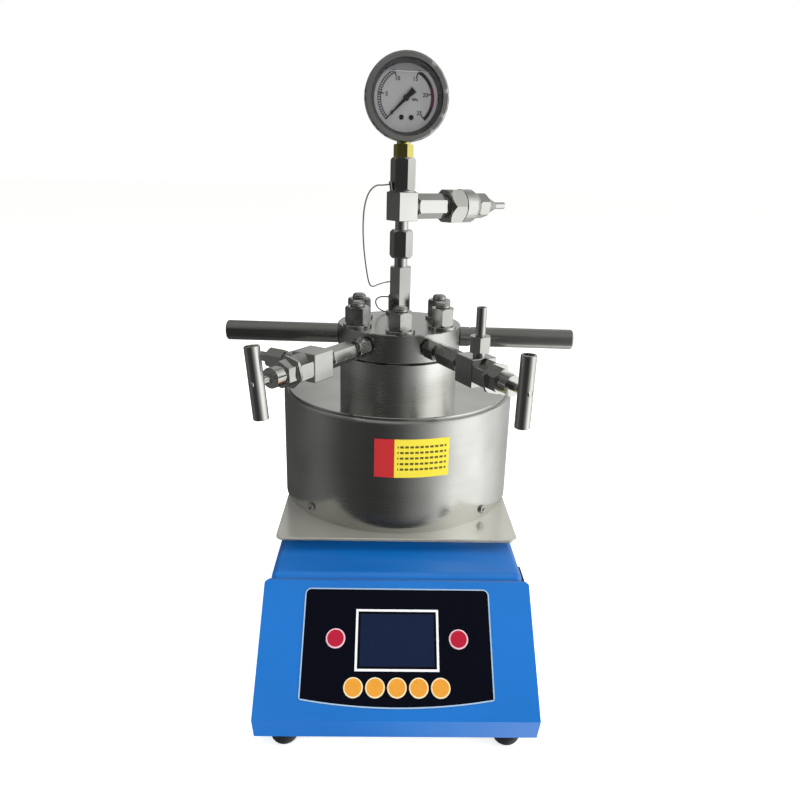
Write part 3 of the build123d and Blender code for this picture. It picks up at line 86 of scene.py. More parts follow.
sky_links.new(around.outputs[0], share.inputs["Value"])
fields = sky_nodes.new("ShaderNodeValToRGB")
fields.color_ramp.interpolation = "EASE"
while len(fields.color_ramp.elements) < len(walls):
    fields.color_ramp.elements.new(0.5)
for stop, (angle, light) in zip(fields.color_ramp.elements, walls):
    stop.position = (angle + 180) / 360
    stop.color = (light, light, light * 0.98, 1)
sky_links.new(share.outputs["Result"], fields.inputs["Fac"])
overhead = sky_nodes.new("ShaderNodeMapRange")
overhead.inputs["From Min"].default_value = 0.35
overhead.inputs["From Max"].default_value = 0.95
sky_links.new(apart.outputs["Z"], overhead.inputs["Value"])
ceiling = sky_nodes.new("ShaderNodeMix")
ceiling.data_type = "RGBA"
ceiling.inputs["B"].default_value = (0.30, 0.30, 0.29, 1)
sky_links.new(overhead.outputs["Result"], ceiling.inputs["Factor"])
sky_links.new(fields.outputs["Color"], ceiling.inputs["A"])
seen = sky_nodes.new("ShaderNodeLightPath")
backdrop = sky_nodes.new("ShaderNodeMix")
backdrop.data_type = "RGBA"
backdrop.inputs["B"].default_value = (1, 1, 1, 1)
sky_links.new(seen.outputs["Is Camera Ray"], backdrop.inputs["Factor"])
sky_links.new(ceiling.outputs["Result"], backdrop.inputs["A"])
shine = sky_nodes.new("ShaderNodeBackground")
sky_links.new(backdrop.outputs["Result"], shine.inputs["Color"])
sky_out = sky_nodes.new("ShaderNodeOutputWorld")
sky_links.new(shine.outputs[0], sky_out.inputs["Surface"])


def softbox(name, place, aim, size, power):
    """A square area light that faces a point and leaves no image of itself in the steel."""
    data = bpy.data.lights.new(name, "AREA")
    data.shape = "SQUARE"
    data.size = size
    data.energy = power
    lamp = bpy.data.objects.new(name, data)
    facing = (Vector(aim) - Vector(place)).to_track_quat("-Z", "Y")
    lamp.matrix_world = Matrix.Translation(place) @ facing.to_matrix().to_4x4()
    lamp.visible_glossy = False
    bpy.context.scene.collection.objects.link(lamp)


softbox("front_light", (-0.5, -1.6, 1.1), (0, 0, 0.1), 1.0, 12)
softbox("right_light", (1.5, -0.5, 1.0), (0, 0, 0.2), 1.0, 12)
softbox("top_light", (0.1, 0.1, 1.9), (0, 0, 0), 1.5, 16)

bpy.ops.mesh.primitive_plane_add(size=40, location=(0, 0, 0))
floor = bpy.context.object
floor.name = "floor"
floor.visible_glossy = False
floor_paint = bpy.data.materials.new("floor_paint")
floor_paint.use_nodes = True
for socket, value in (("Base Color", (1, 1, 1, 1)), ("Roughness", 0.9),
                      ("Emission Color", (1, 1, 1, 1)), ("Emission Strength", 0.62)):
    floor_paint.node_tree.nodes["Principled BSDF"].inputs[socket].default_value = value
floor.data.materials.append(floor_paint)

# ---------------------------------------------------------------- tether wire
# Thin stranded steel wire from the tag on the gauge column, down beside the column, once behind
# it and to the rear washer.  It is stiff for its thickness and stands in its own curve.
mm = 0.001
axis_y = 47.5 * mm              # vessel axis behind the origin
wire_points = [
    (-9.25, 44.85, 373.8), (-15.2, 43.1, 372.7), (-21.8, 40.9, 372.9), (-27.6, 39.1, 367.2),
    (-31.0, 37.9, 356.0), (-31.9, 37.5, 340.0), (-31.0, 38.5, 322.0), (-28.8, 40.9, 304.5),
    (-26.6, 46.0, 292.0), (-23.6, 54.5, 288.4), (-18.4, 63.0, 289.8), (-11.0, 68.5, 291.2),
    (-3.0, 70.1, 291.4), (5.5, 69.9, 290.4), (8.6, 69.7, 286.7), (8.6, 69.3, 281.9),
    (5.5, 68.9, 278.2), (-3.0, 68.5, 277.0), (-11.5, 68.1, 278.2), (-18.2, 69.3, 277.6),
    (-21.6, 75.1, 273.2), (-20.4, 81.5, 267.0), (-16.8, 86.3, 262.4), (-12.4, 88.4, 260.7),
]
wire_diameter = 1.2 * mm


def new_finish(name, colour, metallic=0.0, roughness=0.4):
    """A material with its Principled shader, its node lists and an Object coordinate."""
    made = bpy.data.materials.new(name)
    made.use_nodes = True
    nodes, links = made.node_tree.nodes, made.node_tree.links
    shader = nodes["Principled BSDF"]
    shader.inputs["Base Color"].default_value = (*colour, 1)
    shader.inputs["Metallic"].default_value = metallic
    shader.inputs["Roughness"].default_value = roughness
    place = nodes.new("ShaderNodeTexCoord")
    return made, nodes, links, shader, place.outputs["Object"]


def grain(nodes, links, place, stretch, detail=2.0):
    """Noise stretched by a different scale along each axis, in cycles per metre."""
    spread = nodes.new("ShaderNodeMapping")
    spread.inputs["Scale"].default_value = stretch
    links.new(place, spread.inputs["Vector"])
    noise = nodes.new("ShaderNodeTexNoise")
    noise.inputs["Scale"].default_value = 1.0
    noise.inputs["Detail"].default_value = detail
    links.new(spread.outputs[0], noise.inputs["Vector"])
    return noise.outputs["Fac"]


def vary(nodes, links, value, low, high, target):
    """Feeds a pattern, spread between two values, into a socket."""
    spread = nodes.new("ShaderNodeMapRange")
    spread.inputs["From Min"].default_value = 0.3
    spread.inputs["From Max"].default_value = 0.7
    spread.inputs["To Min"].default_value = low
    spread.inputs["To Max"].default_value = high
    links.new(value, spread.inputs["Value"])
    links.new(spread.outputs["Result"], target)


def tint(nodes, links, value, first, second, target):
    """Feeds a colour between two into a socket, by a pattern."""
    ramp = nodes.new("ShaderNodeValToRGB")
    ramp.color_ramp.elements[0].position = 0.35
    ramp.color_ramp.elements[1].position = 0.65
    ramp.color_ramp.elements[0].color = (*first, 1)
    ramp.color_ramp.elements[1].color = (*second, 1)
    links.new(value, ramp.inputs["Fac"])
    links.new(ramp.outputs["Color"], target)


def relief(nodes, links, value, strength, depth, shader):
    """Raises a pattern out of a surface, by a depth in metres."""
    bump = nodes.new("ShaderNodeBump")
    bump.inputs["Strength"].default_value = strength
    bump.inputs["Distance"].default_value = depth
    links.new(value, bump.inputs["Height"])
    links.new(bump.outputs["Normal"], shader.inputs["Normal"])


def steel(name, light, roughness, stretch, scratch=0.15):
    """Stainless steel whose fine grain runs along the axes with the small numbers."""
    made, nodes, links, shader, place = new_finish(name, (light, light, light * 0.97), 1.0, roughness)
    lines = grain(nodes, links, place, stretch, 4.0)
    clouds = grain(nodes, links, place, (28, 28, 28), 1.0)
    vary(nodes, links, lines, roughness * 0.75, roughness * 1.3, shader.inputs["Roughness"])
    dark = (light * 0.88, light * 0.88, light * 0.85)
    tint(nodes, links, clouds, dark, (light, light, light * 0.97), shader.inputs["Base Color"])
    relief(nodes, links, lines, scratch, 0.02 * mm, shader)
    return made


wire_curve = bpy.data.curves.new("tether_cable", "CURVE")
wire_curve.dimensions = "3D"
strand = wire_curve.splines.new("NURBS")
strand.points.add(len(wire_points) - 1)
for point, spot in zip(strand.points, wire_points):
    point.co = (spot[0] * mm, spot[1] * mm, spot[2] * mm, 1)
strand.order_u = 3
strand.use_endpoint_u = True
strand.resolution_u = 8
wire_curve.bevel_depth = wire_diameter / 2
wire_curve.bevel_resolution = 3
wire_curve.use_fill_caps = True
cable = bpy.data.objects.new("tether_cable", wire_curve)
bpy.context.scene.collection.objects.link(cable)
wire_curve.materials.append(steel("wire_strands", 0.34, 0.35, (900, 900, 900), 0.5))
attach(cable, "reactor")
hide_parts("tether_wire")

# ---------------------------------------------------------------- stirrer housing and console cover
# Two pressed sheet-steel shells in blue baked enamel, with a faint orange-peel skin.  The cover
# slides over the front of the housing and carries the sloping panel.
enamel, nodes, links, shader, place = new_finish("blue_enamel", (0.003, 0.150, 0.52), 0.0, 0.3)
tint(nodes, links, grain(nodes, links, place, (9, 9, 9)), (0.002, 0.140, 0.495),
     (0.004, 0.158, 0.545), shader.inputs["Base Color"])
relief(nodes, links, grain(nodes, links, place, (520, 520, 520)), 0.12, 0.03 * mm, shader)
shader.inputs["Coat Weight"].default_value = 0.3
shader.inputs["Coat Roughness"].default_value = 0.12
weld = 0.002 * mm                # corners of a copied solid nearer than this are one corner
crease = radians(25)             # edges sharper than this stay sharp
rounded_from = radians(28)       # edges sharper than this are rounded where a width is given


def alone(piece):
    """Selects one piece and nothing else."""
    bpy.ops.object.select_all(action="DESELECT")
    piece.select_set(True)
    bpy.context.view_layer.objects.active = piece


def finished(node, name, body, material, edge=0.0):
    """A copy of a solid in place of it: its facets joined, its round faces smoothed, its flats
    kept flat and, where a width is given, its sharp edges rounded."""
    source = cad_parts[node]
    piece = bpy.data.objects.new(name, source.data.copy())
    bpy.context.scene.collection.objects.link(piece)
    alone(piece)
    bpy.ops.object.mode_set(mode="EDIT")
    bpy.ops.mesh.select_all(action="SELECT")
    bpy.ops.mesh.remove_doubles(threshold=weld)
    if edge:
        bpy.ops.mesh.dissolve_limited(angle_limit=radians(0.4))
    bpy.ops.object.mode_set(mode="OBJECT")
    if edge:
        rounding = piece.modifiers.new("rounding", "BEVEL")
        rounding.width = edge
        rounding.segments = 2
        rounding.limit_method = "ANGLE"
        rounding.angle_limit = rounded_from
        rounding.use_clamp_overlap = True
        bpy.ops.object.modifier_apply(modifier=rounding.name)
    bpy.ops.object.shade_smooth_by_angle(angle=crease)
    flats = piece.modifiers.new("flats", "WEIGHTED_NORMAL")
    flats.keep_sharp = True
    flats.weight = 80
    bpy.ops.object.modifier_apply(modifier=flats.name)
    piece.data.materials.clear()
    piece.data.materials.append(material)
    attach(piece, body)
    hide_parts(node)
    return piece


def turned(piece):
    """Exact normals on the round walls and level faces of a piece turned about the vessel axis."""
    shape = piece.data
    exact = [Vector(normal.vector) for normal in shape.corner_normals]
    for face in shape.polygons:
        outward = Vector((face.center.x, face.center.y - axis_y, 0)).normalized()
        facing = face.normal.dot(outward)
        level = abs(face.normal.z) > 0.999
        if not level and (abs(face.normal.z) > 0.01 or abs(facing) < 0.97):
            continue
        for corner in face.loop_indices:
            spot = shape.vertices[shape.loops[corner].vertex_index].co
            radial = Vector((spot.x, spot.y - axis_y, 0)).normalized()
            exact[corner] = face.normal.copy() if level else radial * (1 if facing > 0 else -1)
    shape.normals_split_custom_set(exact)


for node, name in (("housing_body", "blue_housing"), ("console_cover", "blue_console")):
    shell = finished(node, name, "reactor", enamel)
    shell.visible_glossy = False

# ---------------------------------------------------------------- feet and floor sheet
# Four moulded rubber feet pushed into a plain zinc-plated floor sheet, held by small screws.
rubber, nodes, links, shader, place = new_finish("foot_rubber", (0.012, 0.012, 0.014), 0.0, 0.6)
vary(nodes, links, grain(nodes, links, place, (300, 300, 300)), 0.5, 0.72, shader.inputs["Roughness"])
relief(nodes, links, grain(nodes, links, place, (900, 900, 900)), 0.2, 0.05 * mm, shader)
finished("rubber_feet", "moulded_feet", "reactor", rubber)
zinc = steel("zinc_plate", 0.62, 0.24, (60, 60, 60), 0.04)
finished("base_floor", "floor_sheet", "reactor", zinc)

# ---------------------------------------------------------------- top plate
# Square steel plate under a warm grey lacquer with metal flake in it, satin enough to mirror the
# jacket that stands on it.
plate_paint, nodes, links, shader, place = new_finish("plate_enamel", (0.86, 0.85, 0.77), 0.7, 0.18)
tint(nodes, links, grain(nodes, links, place, (40, 40, 40)), (0.83, 0.82, 0.745),
     (0.88, 0.87, 0.79), shader.inputs["Base Color"])
vary(nodes, links, grain(nodes, links, place, (120, 120, 120)), 0.16, 0.21, shader.inputs["Roughness"])
finished("top_plate", "enamelled_plate", "reactor", plate_paint)

# ---------------------------------------------------------------- mantle
# Spun stainless jacket with a rolled rim, brushed round and round, closed by a polished disc.
jacket_steel = steel("jacket_brushed", 0.62, 0.22, (4, 4, 1500), 0.3)
jacket_tree = jacket_steel.node_tree
jacket_shader = jacket_tree.nodes["Principled BSDF"]
jacket_shader.inputs["Anisotropic"].default_value = 0.6
jacket_way = jacket_tree.nodes.new("ShaderNodeTangent")
jacket_way.direction_type = "RADIAL"
jacket_way.axis = "Z"
jacket_tree.links.new(jacket_way.outputs[0], jacket_shader.inputs["Tangent"])
turned(finished("mantle_jacket", "spun_jacket", "reactor", jacket_steel))
disc_steel = steel("disc_polished", 0.68, 0.09, (90, 90, 90), 0.05)
turned(finished("mantle_disc", "polished_disc", "reactor", disc_steel))
screw_steel = steel("screw_bright", 0.55, 0.22, (400, 400, 400), 0.1)
finished("small_screws", "pan_screws", "reactor", screw_steel)

# ---------------------------------------------------------------- sticker
# A two-colour film stuck to the jacket: a red field beside a yellow one with plain dark bars.
plate_top = 109.0 * mm
label_turn = radians(276.0)
label_low = plate_top + 48.6 * mm
label_half = 29.2 * mm
red_share = 0.26
bar_pitch = 4.6 * mm
bar_half = 0.2                   # half height of a bar, as a share of its pitch
bar_rows = (0.95, 6.0)           # printed height, counted in pitches
bar_reach = (red_share + 0.04, 0.96)
dash_count = 15.0
dash_share = 0.72
film, nodes, links, shader, place = new_finish("sticker_film", (0.85, 0.72, 0.03), 0.0, 0.35)


def across_film(nodes, links, place, along, offset, unit):
    """Distance along a direction from an offset, counted in units."""
    dot = nodes.new("ShaderNodeVectorMath")
    dot.operation = "DOT_PRODUCT"
    dot.inputs[1].default_value = along
    links.new(place, dot.inputs[0])
    scaled = nodes.new("ShaderNodeMapRange")
    scaled.clamp = False
    scaled.inputs["From Min"].default_value = offset
    scaled.inputs["From Max"].default_value = offset + unit
    links.new(dot.outputs["Value"], scaled.inputs["Value"])
    return scaled.outputs["Result"]


def combine(nodes, links, operation, first, second):
    """A Math node on two values or sockets."""
    node = nodes.new("ShaderNodeMath")
    node.operation = operation
    for socket, value in zip(node.inputs, (first, second)):
        if isinstance(value, (int, float)):
            socket.default_value = value
        else:
            links.new(value, socket)
    return node.outputs[0]


def choose(nodes, links, factor, first, second):
    """A colour chosen by a factor, each a colour or a socket."""
    node = nodes.new("ShaderNodeMix")
    node.data_type = "RGBA"
    links.new(factor, node.inputs["Factor"])
    for socket, value in ((node.inputs["A"], first), (node.inputs["B"], second)):
        if isinstance(value, tuple):
            socket.default_value = (*value, 1)
        else:
            links.new(value, socket)
    return node.outputs["Result"]


label_along = Vector((-sin(label_turn), cos(label_turn), 0))
label_start = label_along.dot(Vector((0, axis_y, 0))) - label_half
label_across = across_film(nodes, links, place, label_along, label_start, 2 * label_half)
label_up = across_film(nodes, links, place, (0, 0, 1), label_low, bar_pitch)
row = combine(nodes, links, "FRACT", label_up, 0)
in_row = combine(nodes, links, "COMPARE", row, 0.5)
in_row.node.inputs[2].default_value = bar_half
dash = combine(nodes, links, "FRACT", combine(nodes, links, "MULTIPLY", label_across, dash_count), 0)
in_dash = combine(nodes, links, "LESS_THAN", dash, dash_share)
in_field = combine(nodes, links, "MULTIPLY",
                   combine(nodes, links, "GREATER_THAN", label_across, bar_reach[0]),
                   combine(nodes, links, "LESS_THAN", label_across, bar_reach[1]))
in_height = combine(nodes, links, "MULTIPLY",
                    combine(nodes, links, "GREATER_THAN", label_up, bar_rows[0]),
                    combine(nodes, links, "LESS_THAN", label_up, bar_rows[1]))
printed = combine(nodes, links, "MULTIPLY", combine(nodes, links, "MULTIPLY", in_row, in_dash),
                  combine(nodes, links, "MULTIPLY", in_field, in_height))
yellow_field = choose(nodes, links, printed, (0.80, 0.66, 0.03), (0.10, 0.08, 0.01))
in_red = combine(nodes, links, "LESS_THAN", label_across, red_share)
links.new(choose(nodes, links, in_red, yellow_field, (0.52, 0.008, 0.012)), shader.inputs["Base Color"])
finished("jacket_label", "two_colour_sticker", "reactor", film)

# ---------------------------------------------------------------- vessel, seal and lid
# Turned from bar: fine tool marks run round the flange and the lid, with a thin graphite seal.
turned_steel = steel("turned_bar", 0.74, 0.26, (2, 2, 1500), 0.03)
lid_steel = steel("turned_lid", 0.57, 0.26, (2, 2, 1500), 0.03)
turned(finished("vessel_body", "turned_vessel", "reactor", turned_steel))
turned(finished("lid", "turned_lid", "reactor", lid_steel))
graphite, nodes, links, shader, place = new_finish("graphite_sheet", (0.01, 0.01, 0.01), 0.0, 0.7)
vary(nodes, links, grain(nodes, links, place, (600, 600, 600)), 0.6, 0.8, shader.inputs["Roughness"])
finished("lid_gasket", "graphite_seal", "reactor", graphite)

# ---------------------------------------------------------------- studs, washers and nuts
# Six bright stainless fasteners round the lid.  The ends of the studs carry the relief of a thread.
bolt_steel = steel("bolt_bright", 0.52, 0.2, (260, 260, 260), 0.1)
thread_pitch = 1.75 * mm
threaded, nodes, links, shader, place = new_finish("bolt_thread", (0.50, 0.50, 0.485), 1.0, 0.24)
vary(nodes, links, grain(nodes, links, place, (260, 260, 260)), 0.18, 0.3, shader.inputs["Roughness"])
turns = nodes.new("ShaderNodeTexWave")
turns.bands_direction = "Z"
turns.inputs["Scale"].default_value = 2 * pi / (20 * thread_pitch)
links.new(place, turns.inputs["Vector"])
relief(nodes, links, turns.outputs["Fac"], 0.7, 0.5 * mm, shader)
for node, name, metal in (("lid_studs", "threaded_studs", threaded),
                          ("lid_washers", "plain_washers", bolt_steel),
                          ("lid_nuts", "hexagon_nuts", bolt_steel)):
    finished(node, name, "reactor", metal, edge=0.25 * mm)

# ---------------------------------------------------------------- lid handles
# Two plain drawn rods screwed into the sides of the lid, darker than the turned parts.
rod_steel = steel("drawn_rod", 0.46, 0.24, (12, 900, 900), 0.3)
finished("lid_handles", "drawn_handles", "reactor", rod_steel)

# ---------------------------------------------------------------- valves, column and vent
# Machined stainless fittings, polished on their flats and sharp at their edges.
fitting_steel = steel("fitting_polished", 0.60, 0.14, (140, 140, 140), 0.12)
for node, name in (
    ("valve_inlets", "inlet_nipples"), ("valve_blocks", "needle_blocks"),
    ("valve_bonnets", "bonnet_nuts"), ("outlet_nuts", "outlet_glands"),
    ("outlet_tubes", "tube_stubs"), ("gauge_column", "hexagon_column"),
    ("column_coupling", "hexagon_coupling"), ("tee_block", "square_tee"),
    ("tag_ring", "wire_tag"), ("gauge_adapter", "hexagon_adapter"),
    ("burst_holder", "disc_holder"), ("burst_cap", "disc_cap"),
):
    finished(node, name, "reactor", fitting_steel, edge=0.2 * mm)
bar_steel = steel("bar_polished", 0.62, 0.13, (300, 300, 14), 0.15)
for hand in ("left", "right"):
    finished(f"{hand}_valve_stem", f"{hand}_needle", f"{hand}_valve_stem", bar_steel)
    finished(f"{hand}_valve_handle", f"{hand}_cross_bar", f"{hand}_valve_handle",
             bar_steel)

# ---------------------------------------------------------------- pressure gauge
# Liquid-filled dial gauge on a brass socket: a pressed steel case with a rolled bezel, a printed
# dial, a black pointer and a clear window.  The liquid stops short of the top of the window, and the dial
# above it carries painted shade.
brass, nodes, links, shader, place = new_finish("gauge_brass", (0.72, 0.64, 0.20), 1.0, 0.2)
vary(nodes, links, grain(nodes, links, place, (300, 300, 300)), 0.16, 0.28, shader.inputs["Roughness"])
finished("gauge_socket", "brass_socket", "reactor", brass, edge=0.25 * mm)
case_steel = steel("case_polished", 0.55, 0.12, (60, 60, 60), 0.05)
finished("gauge_case", "pressed_case", "reactor", case_steel)

gauge_level = 438.2 * mm
gauge_facing = radians(277.0)
dial_ahead = 6.8 * mm            # face of the dial in front of the vessel axis
window_ahead = 11.6 * mm         # back of the window in front of the vessel axis
dial_out = Vector((cos(gauge_facing), sin(gauge_facing), 0))
dial_right = Vector((-sin(gauge_facing), cos(gauge_facing), 0))
dial_middle = Vector((0, axis_y, gauge_level)) + dial_out * dial_ahead
dial_frame = Matrix.Translation(dial_middle) @ Matrix(
    (dial_right, Vector((0, 0, 1)), dial_out)).transposed().to_4x4()
band_outer = 22.4                # band of the scale, in millimetres from the pointer
band_inner = 19.6
band_line = 0.6
square_count = 55.0              # squares in a full scale, of which two fifths are printed
square_bar = 0.42
scale_start = -135               # degrees from the top of the dial
scale_sweep = 270
scale_end = 25
scale_step = 5
tick_reach = 2.2
liquid_level = 18.6              # millimetres above the pointer
dial_print, nodes, links, shader, place = new_finish("dial_enamel_and_shade", (0.42, 0.42, 0.43), 0.0, 0.45)


def between(nodes, links, value, low, high):
    """One where a value lies between two numbers, nought elsewhere."""
    return combine(nodes, links, "MULTIPLY", combine(nodes, links, "GREATER_THAN", value, low),
                   combine(nodes, links, "LESS_THAN", value, high))


def both(nodes, links, first, second):
    """One where both patterns are one."""
    return combine(nodes, links, "MULTIPLY", first, second)


def length_of(nodes, links, first, second):
    """Length of a vector given by its two parts."""
    squares = [combine(nodes, links, "MULTIPLY", part, part) for part in (first, second)]
    return combine(nodes, links, "SQRT", combine(nodes, links, "ADD", *squares), 0)


dial_x = across_film(nodes, links, place, dial_right, dial_right.dot(dial_middle), mm)
dial_y = across_film(nodes, links, place, (0, 0, 1), gauge_level, mm)
from_middle = length_of(nodes, links, dial_x, dial_y)
from_top = combine(nodes, links, "ARCTAN2", dial_x, dial_y)
reading = combine(nodes, links, "DIVIDE", combine(nodes, links, "ADD", from_top, radians(-scale_start)),
                  radians(scale_sweep))
lines = combine(nodes, links, "MAXIMUM",
                between(nodes, links, from_middle, band_outer - band_line, band_outer),
                between(nodes, links, from_middle, band_inner, band_inner + band_line))
chequer = combine(nodes, links, "FRACT", combine(nodes, links, "MULTIPLY", reading, square_count), 0)
bars = both(nodes, links, combine(nodes, links, "LESS_THAN", chequer, square_bar),
            between(nodes, links, from_middle, band_inner, band_outer))
fine_band = both(nodes, links, combine(nodes, links, "MAXIMUM", lines, bars),
                 between(nodes, links, reading, 0.0, 0.4))
thick_band = both(nodes, links, between(nodes, links, from_middle, band_inner + 0.2, band_outer),
                  between(nodes, links, reading, 0.6, 1.0))
fifth = combine(nodes, links, "FRACT", combine(nodes, links, "ADD", combine(
    nodes, links, "MULTIPLY", reading, 5.0), 0.5), 0)
ticks = both(nodes, links, between(nodes, links, fifth, 0.475, 0.525),
             between(nodes, links, from_middle, band_inner - tick_reach, band_outer))
ticks = both(nodes, links, ticks, between(nodes, links, reading, -0.02, 1.02))
ink = combine(nodes, links, "MAXIMUM", combine(nodes, links, "MAXIMUM", fine_band, thick_band), ticks)
# The dial's grey ground is partly painted shade, for the shade behind its window; its cloudy tone is the
# enamel's own.
clouds = grain(nodes, links, place, (60, 60, 60))
ground = nodes.new("ShaderNodeValToRGB")
ground.color_ramp.elements[0].color = (0.38, 0.38, 0.39, 1)
ground.color_ramp.elements[1].color = (0.44, 0.44, 0.45, 1)
links.new(clouds, ground.inputs["Fac"])
warm = both(nodes, links, thick_band, between(nodes, links, reading, 0.74, 0.90))
ink_colour = choose(nodes, links, warm, (0.012, 0.012, 0.012), (0.10, 0.008, 0.02))
# Painted shade: above the liquid level the dial is painted a darker grey, for the shade it lies in there.
shade_above_liquid = combine(nodes, links, "GREATER_THAN", dial_y, liquid_level)
dial_ground_with_shade = choose(nodes, links, shade_above_liquid, ground.outputs["Color"], (0.26, 0.26, 0.27))
links.new(choose(nodes, links, ink, dial_ground_with_shade, ink_colour), shader.inputs["Base Color"])
finished("gauge_dial", "printed_dial", "reactor", dial_print)

pointer_paint, nodes, links, shader, place = new_finish(
    "pointer_lacquer", (0.008, 0.008, 0.008), 0.0, 0.35)
vary(nodes, links, grain(nodes, links, place, (500, 500, 500)), 0.28, 0.42, shader.inputs["Roughness"])
finished("gauge_pointer", "black_pointer", "gauge_pointer", pointer_paint)


def fixed(piece, name, body, material):
    """Names a modelled piece, applies its place, and gives it its body and material."""
    alone(piece)
    bpy.ops.object.transform_apply(location=True, rotation=True, scale=True)
    piece.name = name
    piece.data.materials.clear()
    piece.data.materials.append(material)
    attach(piece, body)


# Figures of the scale, and the unit, printed just above the enamel
figure_radius = 15.4
figure_height = 4.3
figures = []
for value in range(0, scale_end + 1, scale_step):
    turn = radians(scale_start + scale_sweep * value / scale_end)
    figures.append((str(value), figure_radius * sin(turn), figure_radius * cos(turn), figure_height))
figures.append(("MPa", 7.2, -1.2, 2.7))
for words, right, up, height in figures:
    bpy.ops.object.select_all(action="DESELECT")
    bpy.ops.object.text_add()
    figure = bpy.context.object
    figure.data.body = words
    figure.data.size = height * mm
    figure.data.align_x = "CENTER"
    figure.data.align_y = "CENTER"
    figure.data.extrude = 0.03 * mm
    figure.data.offset = 0.1 * mm
    figure.data.resolution_u = 3
    bpy.ops.object.convert(target="MESH")
    figure = bpy.context.object
    figure.matrix_world = dial_frame @ Matrix.Translation((right * mm, up * mm, 0.04 * mm))
    fixed(figure, f"figure_{words}", "reactor", pointer_paint)

# Two slotted screws hold the dial to its movement
screw_radius = 1.9
screw_head = 0.9
slot_half = 0.28
slot_depth = 0.35
for right, name in ((-3.3, "dial_screw_left"), (4.5, "dial_screw_right")):
    bpy.ops.object.select_all(action="DESELECT")
    bpy.ops.mesh.primitive_cylinder_add(vertices=24, radius=screw_radius * mm, depth=screw_head * mm)
    screw = bpy.context.object
    bpy.ops.object.mode_set(mode="EDIT")
    bpy.ops.mesh.select_all(action="SELECT")
    bpy.ops.mesh.bevel(offset=0.25 * mm, segments=2, affect="EDGES")
    for side in (-slot_half, slot_half):
        bpy.ops.mesh.select_all(action="SELECT")
        bpy.ops.mesh.bisect(plane_co=(0, side * mm, 0), plane_no=(0, 1, 0))
    bpy.ops.object.mode_set(mode="OBJECT")
    for face in screw.data.polygons:
        face.select = face.normal.z > 0.9 and abs(face.center.y) < slot_half * mm
    bpy.ops.object.mode_set(mode="EDIT")
    bpy.ops.mesh.select_mode(type="FACE")
    bpy.ops.mesh.extrude_region_move(TRANSFORM_OT_translate={"value": (0, 0, -slot_depth * mm)})
    bpy.ops.object.mode_set(mode="OBJECT")
    screw.matrix_world = dial_frame @ Matrix.Translation((right * mm, -14.1 * mm, 0.46 * mm))
    fixed(screw, name, "reactor", pointer_paint)


def lathe(name, profile, foot, axis, steps=96):
    """A closed ring of radius and height pairs, spun round an axis from its foot."""
    shape = bpy.data.meshes.new(name)
    count = len(profile)
    shape.from_pydata([(radius * mm, 0, height * mm) for radius, height in profile],
                      [(i, (i + 1) % count) for i in range(count)], [])
    piece = bpy.data.objects.new(name, shape)
    bpy.context.scene.collection.objects.link(piece)
    alone(piece)
    bpy.ops.object.mode_set(mode="EDIT")
    bpy.ops.mesh.select_all(action="SELECT")
    bpy.ops.mesh.spin(steps=steps, angle=2 * pi, center=(0, 0, 0), axis=(0, 0, 1))
    bpy.ops.mesh.select_all(action="SELECT")
    bpy.ops.mesh.remove_doubles(threshold=0.005 * mm)
    bpy.ops.mesh.normals_make_consistent(inside=False)
    bpy.ops.object.mode_set(mode="OBJECT")
    bpy.ops.object.shade_smooth_by_angle(angle=radians(30))
    facing = Vector(axis).to_track_quat("Z", "Y")
    piece.matrix_world = Matrix.Translation(foot) @ facing.to_matrix().to_4x4()
    return piece


# Sloping ring between the dial and the window, its dark tone painted shade for the recess round the dial
recess_shade_paint, nodes, links, shader, place = new_finish("dial_shade_ring", (0.10, 0.10, 0.105), 0.6, 0.3)
vary(nodes, links, grain(nodes, links, place, (120, 120, 120)), 0.24, 0.38, shader.inputs["Roughness"])
ring_foot = 0.15                 # clear of the dial
ring_top = (window_ahead - dial_ahead) / mm - 0.2
ring = lathe("dial_shade_ring", ((25.0, ring_foot), (28.5, ring_foot), (28.5, ring_top),
                           (28.0, ring_top)), dial_middle, dial_out)
fixed(ring, "dial_cover_ring", "reactor", recess_shade_paint)

# Level of the liquid: a light rod behind the window, a painted highlight on the liquid's edge
meniscus_highlight_paint, nodes, links, shader, place = new_finish("meniscus_highlight", (0.62, 0.63, 0.64), 0.0, 0.15)
vary(nodes, links, grain(nodes, links, place, (400, 90, 90)), 0.1, 0.25, shader.inputs["Roughness"])
bpy.ops.object.select_all(action="DESELECT")
line_half = 18
line_ahead = 3.6                 # in front of the dial
bpy.ops.mesh.primitive_cylinder_add(vertices=12, radius=0.34 * mm, depth=2 * line_half * mm)
level_line = bpy.context.object
bpy.ops.object.mode_set(mode="EDIT")
bpy.ops.mesh.select_all(action="SELECT")
bpy.ops.mesh.subdivide(number_cuts=2)
bpy.ops.object.mode_set(mode="OBJECT")
for corner in level_line.data.vertices:
    taper = 1 - 0.7 * (abs(corner.co.z) / (line_half * mm)) ** 2
    corner.co.x *= taper
    corner.co.y *= taper
bpy.ops.object.shade_smooth()
level_line.matrix_world = (
    dial_frame @ Matrix.Translation((0, liquid_level * mm, line_ahead * mm))
    @ Matrix.Rotation(pi / 2, 4, "Y"))
fixed(level_line, "liquid_level", "reactor", meniscus_highlight_paint)

pane, nodes, links, shader, place = new_finish("window_pane", (0.03, 0.03, 0.03), 0.0, 0.04)
shader.inputs["Alpha"].default_value = 0.12
vary(nodes, links, grain(nodes, links, place, (80, 80, 80)), 0.03, 0.06, shader.inputs["Roughness"])
finished("gauge_window", "clear_window", "reactor", pane)

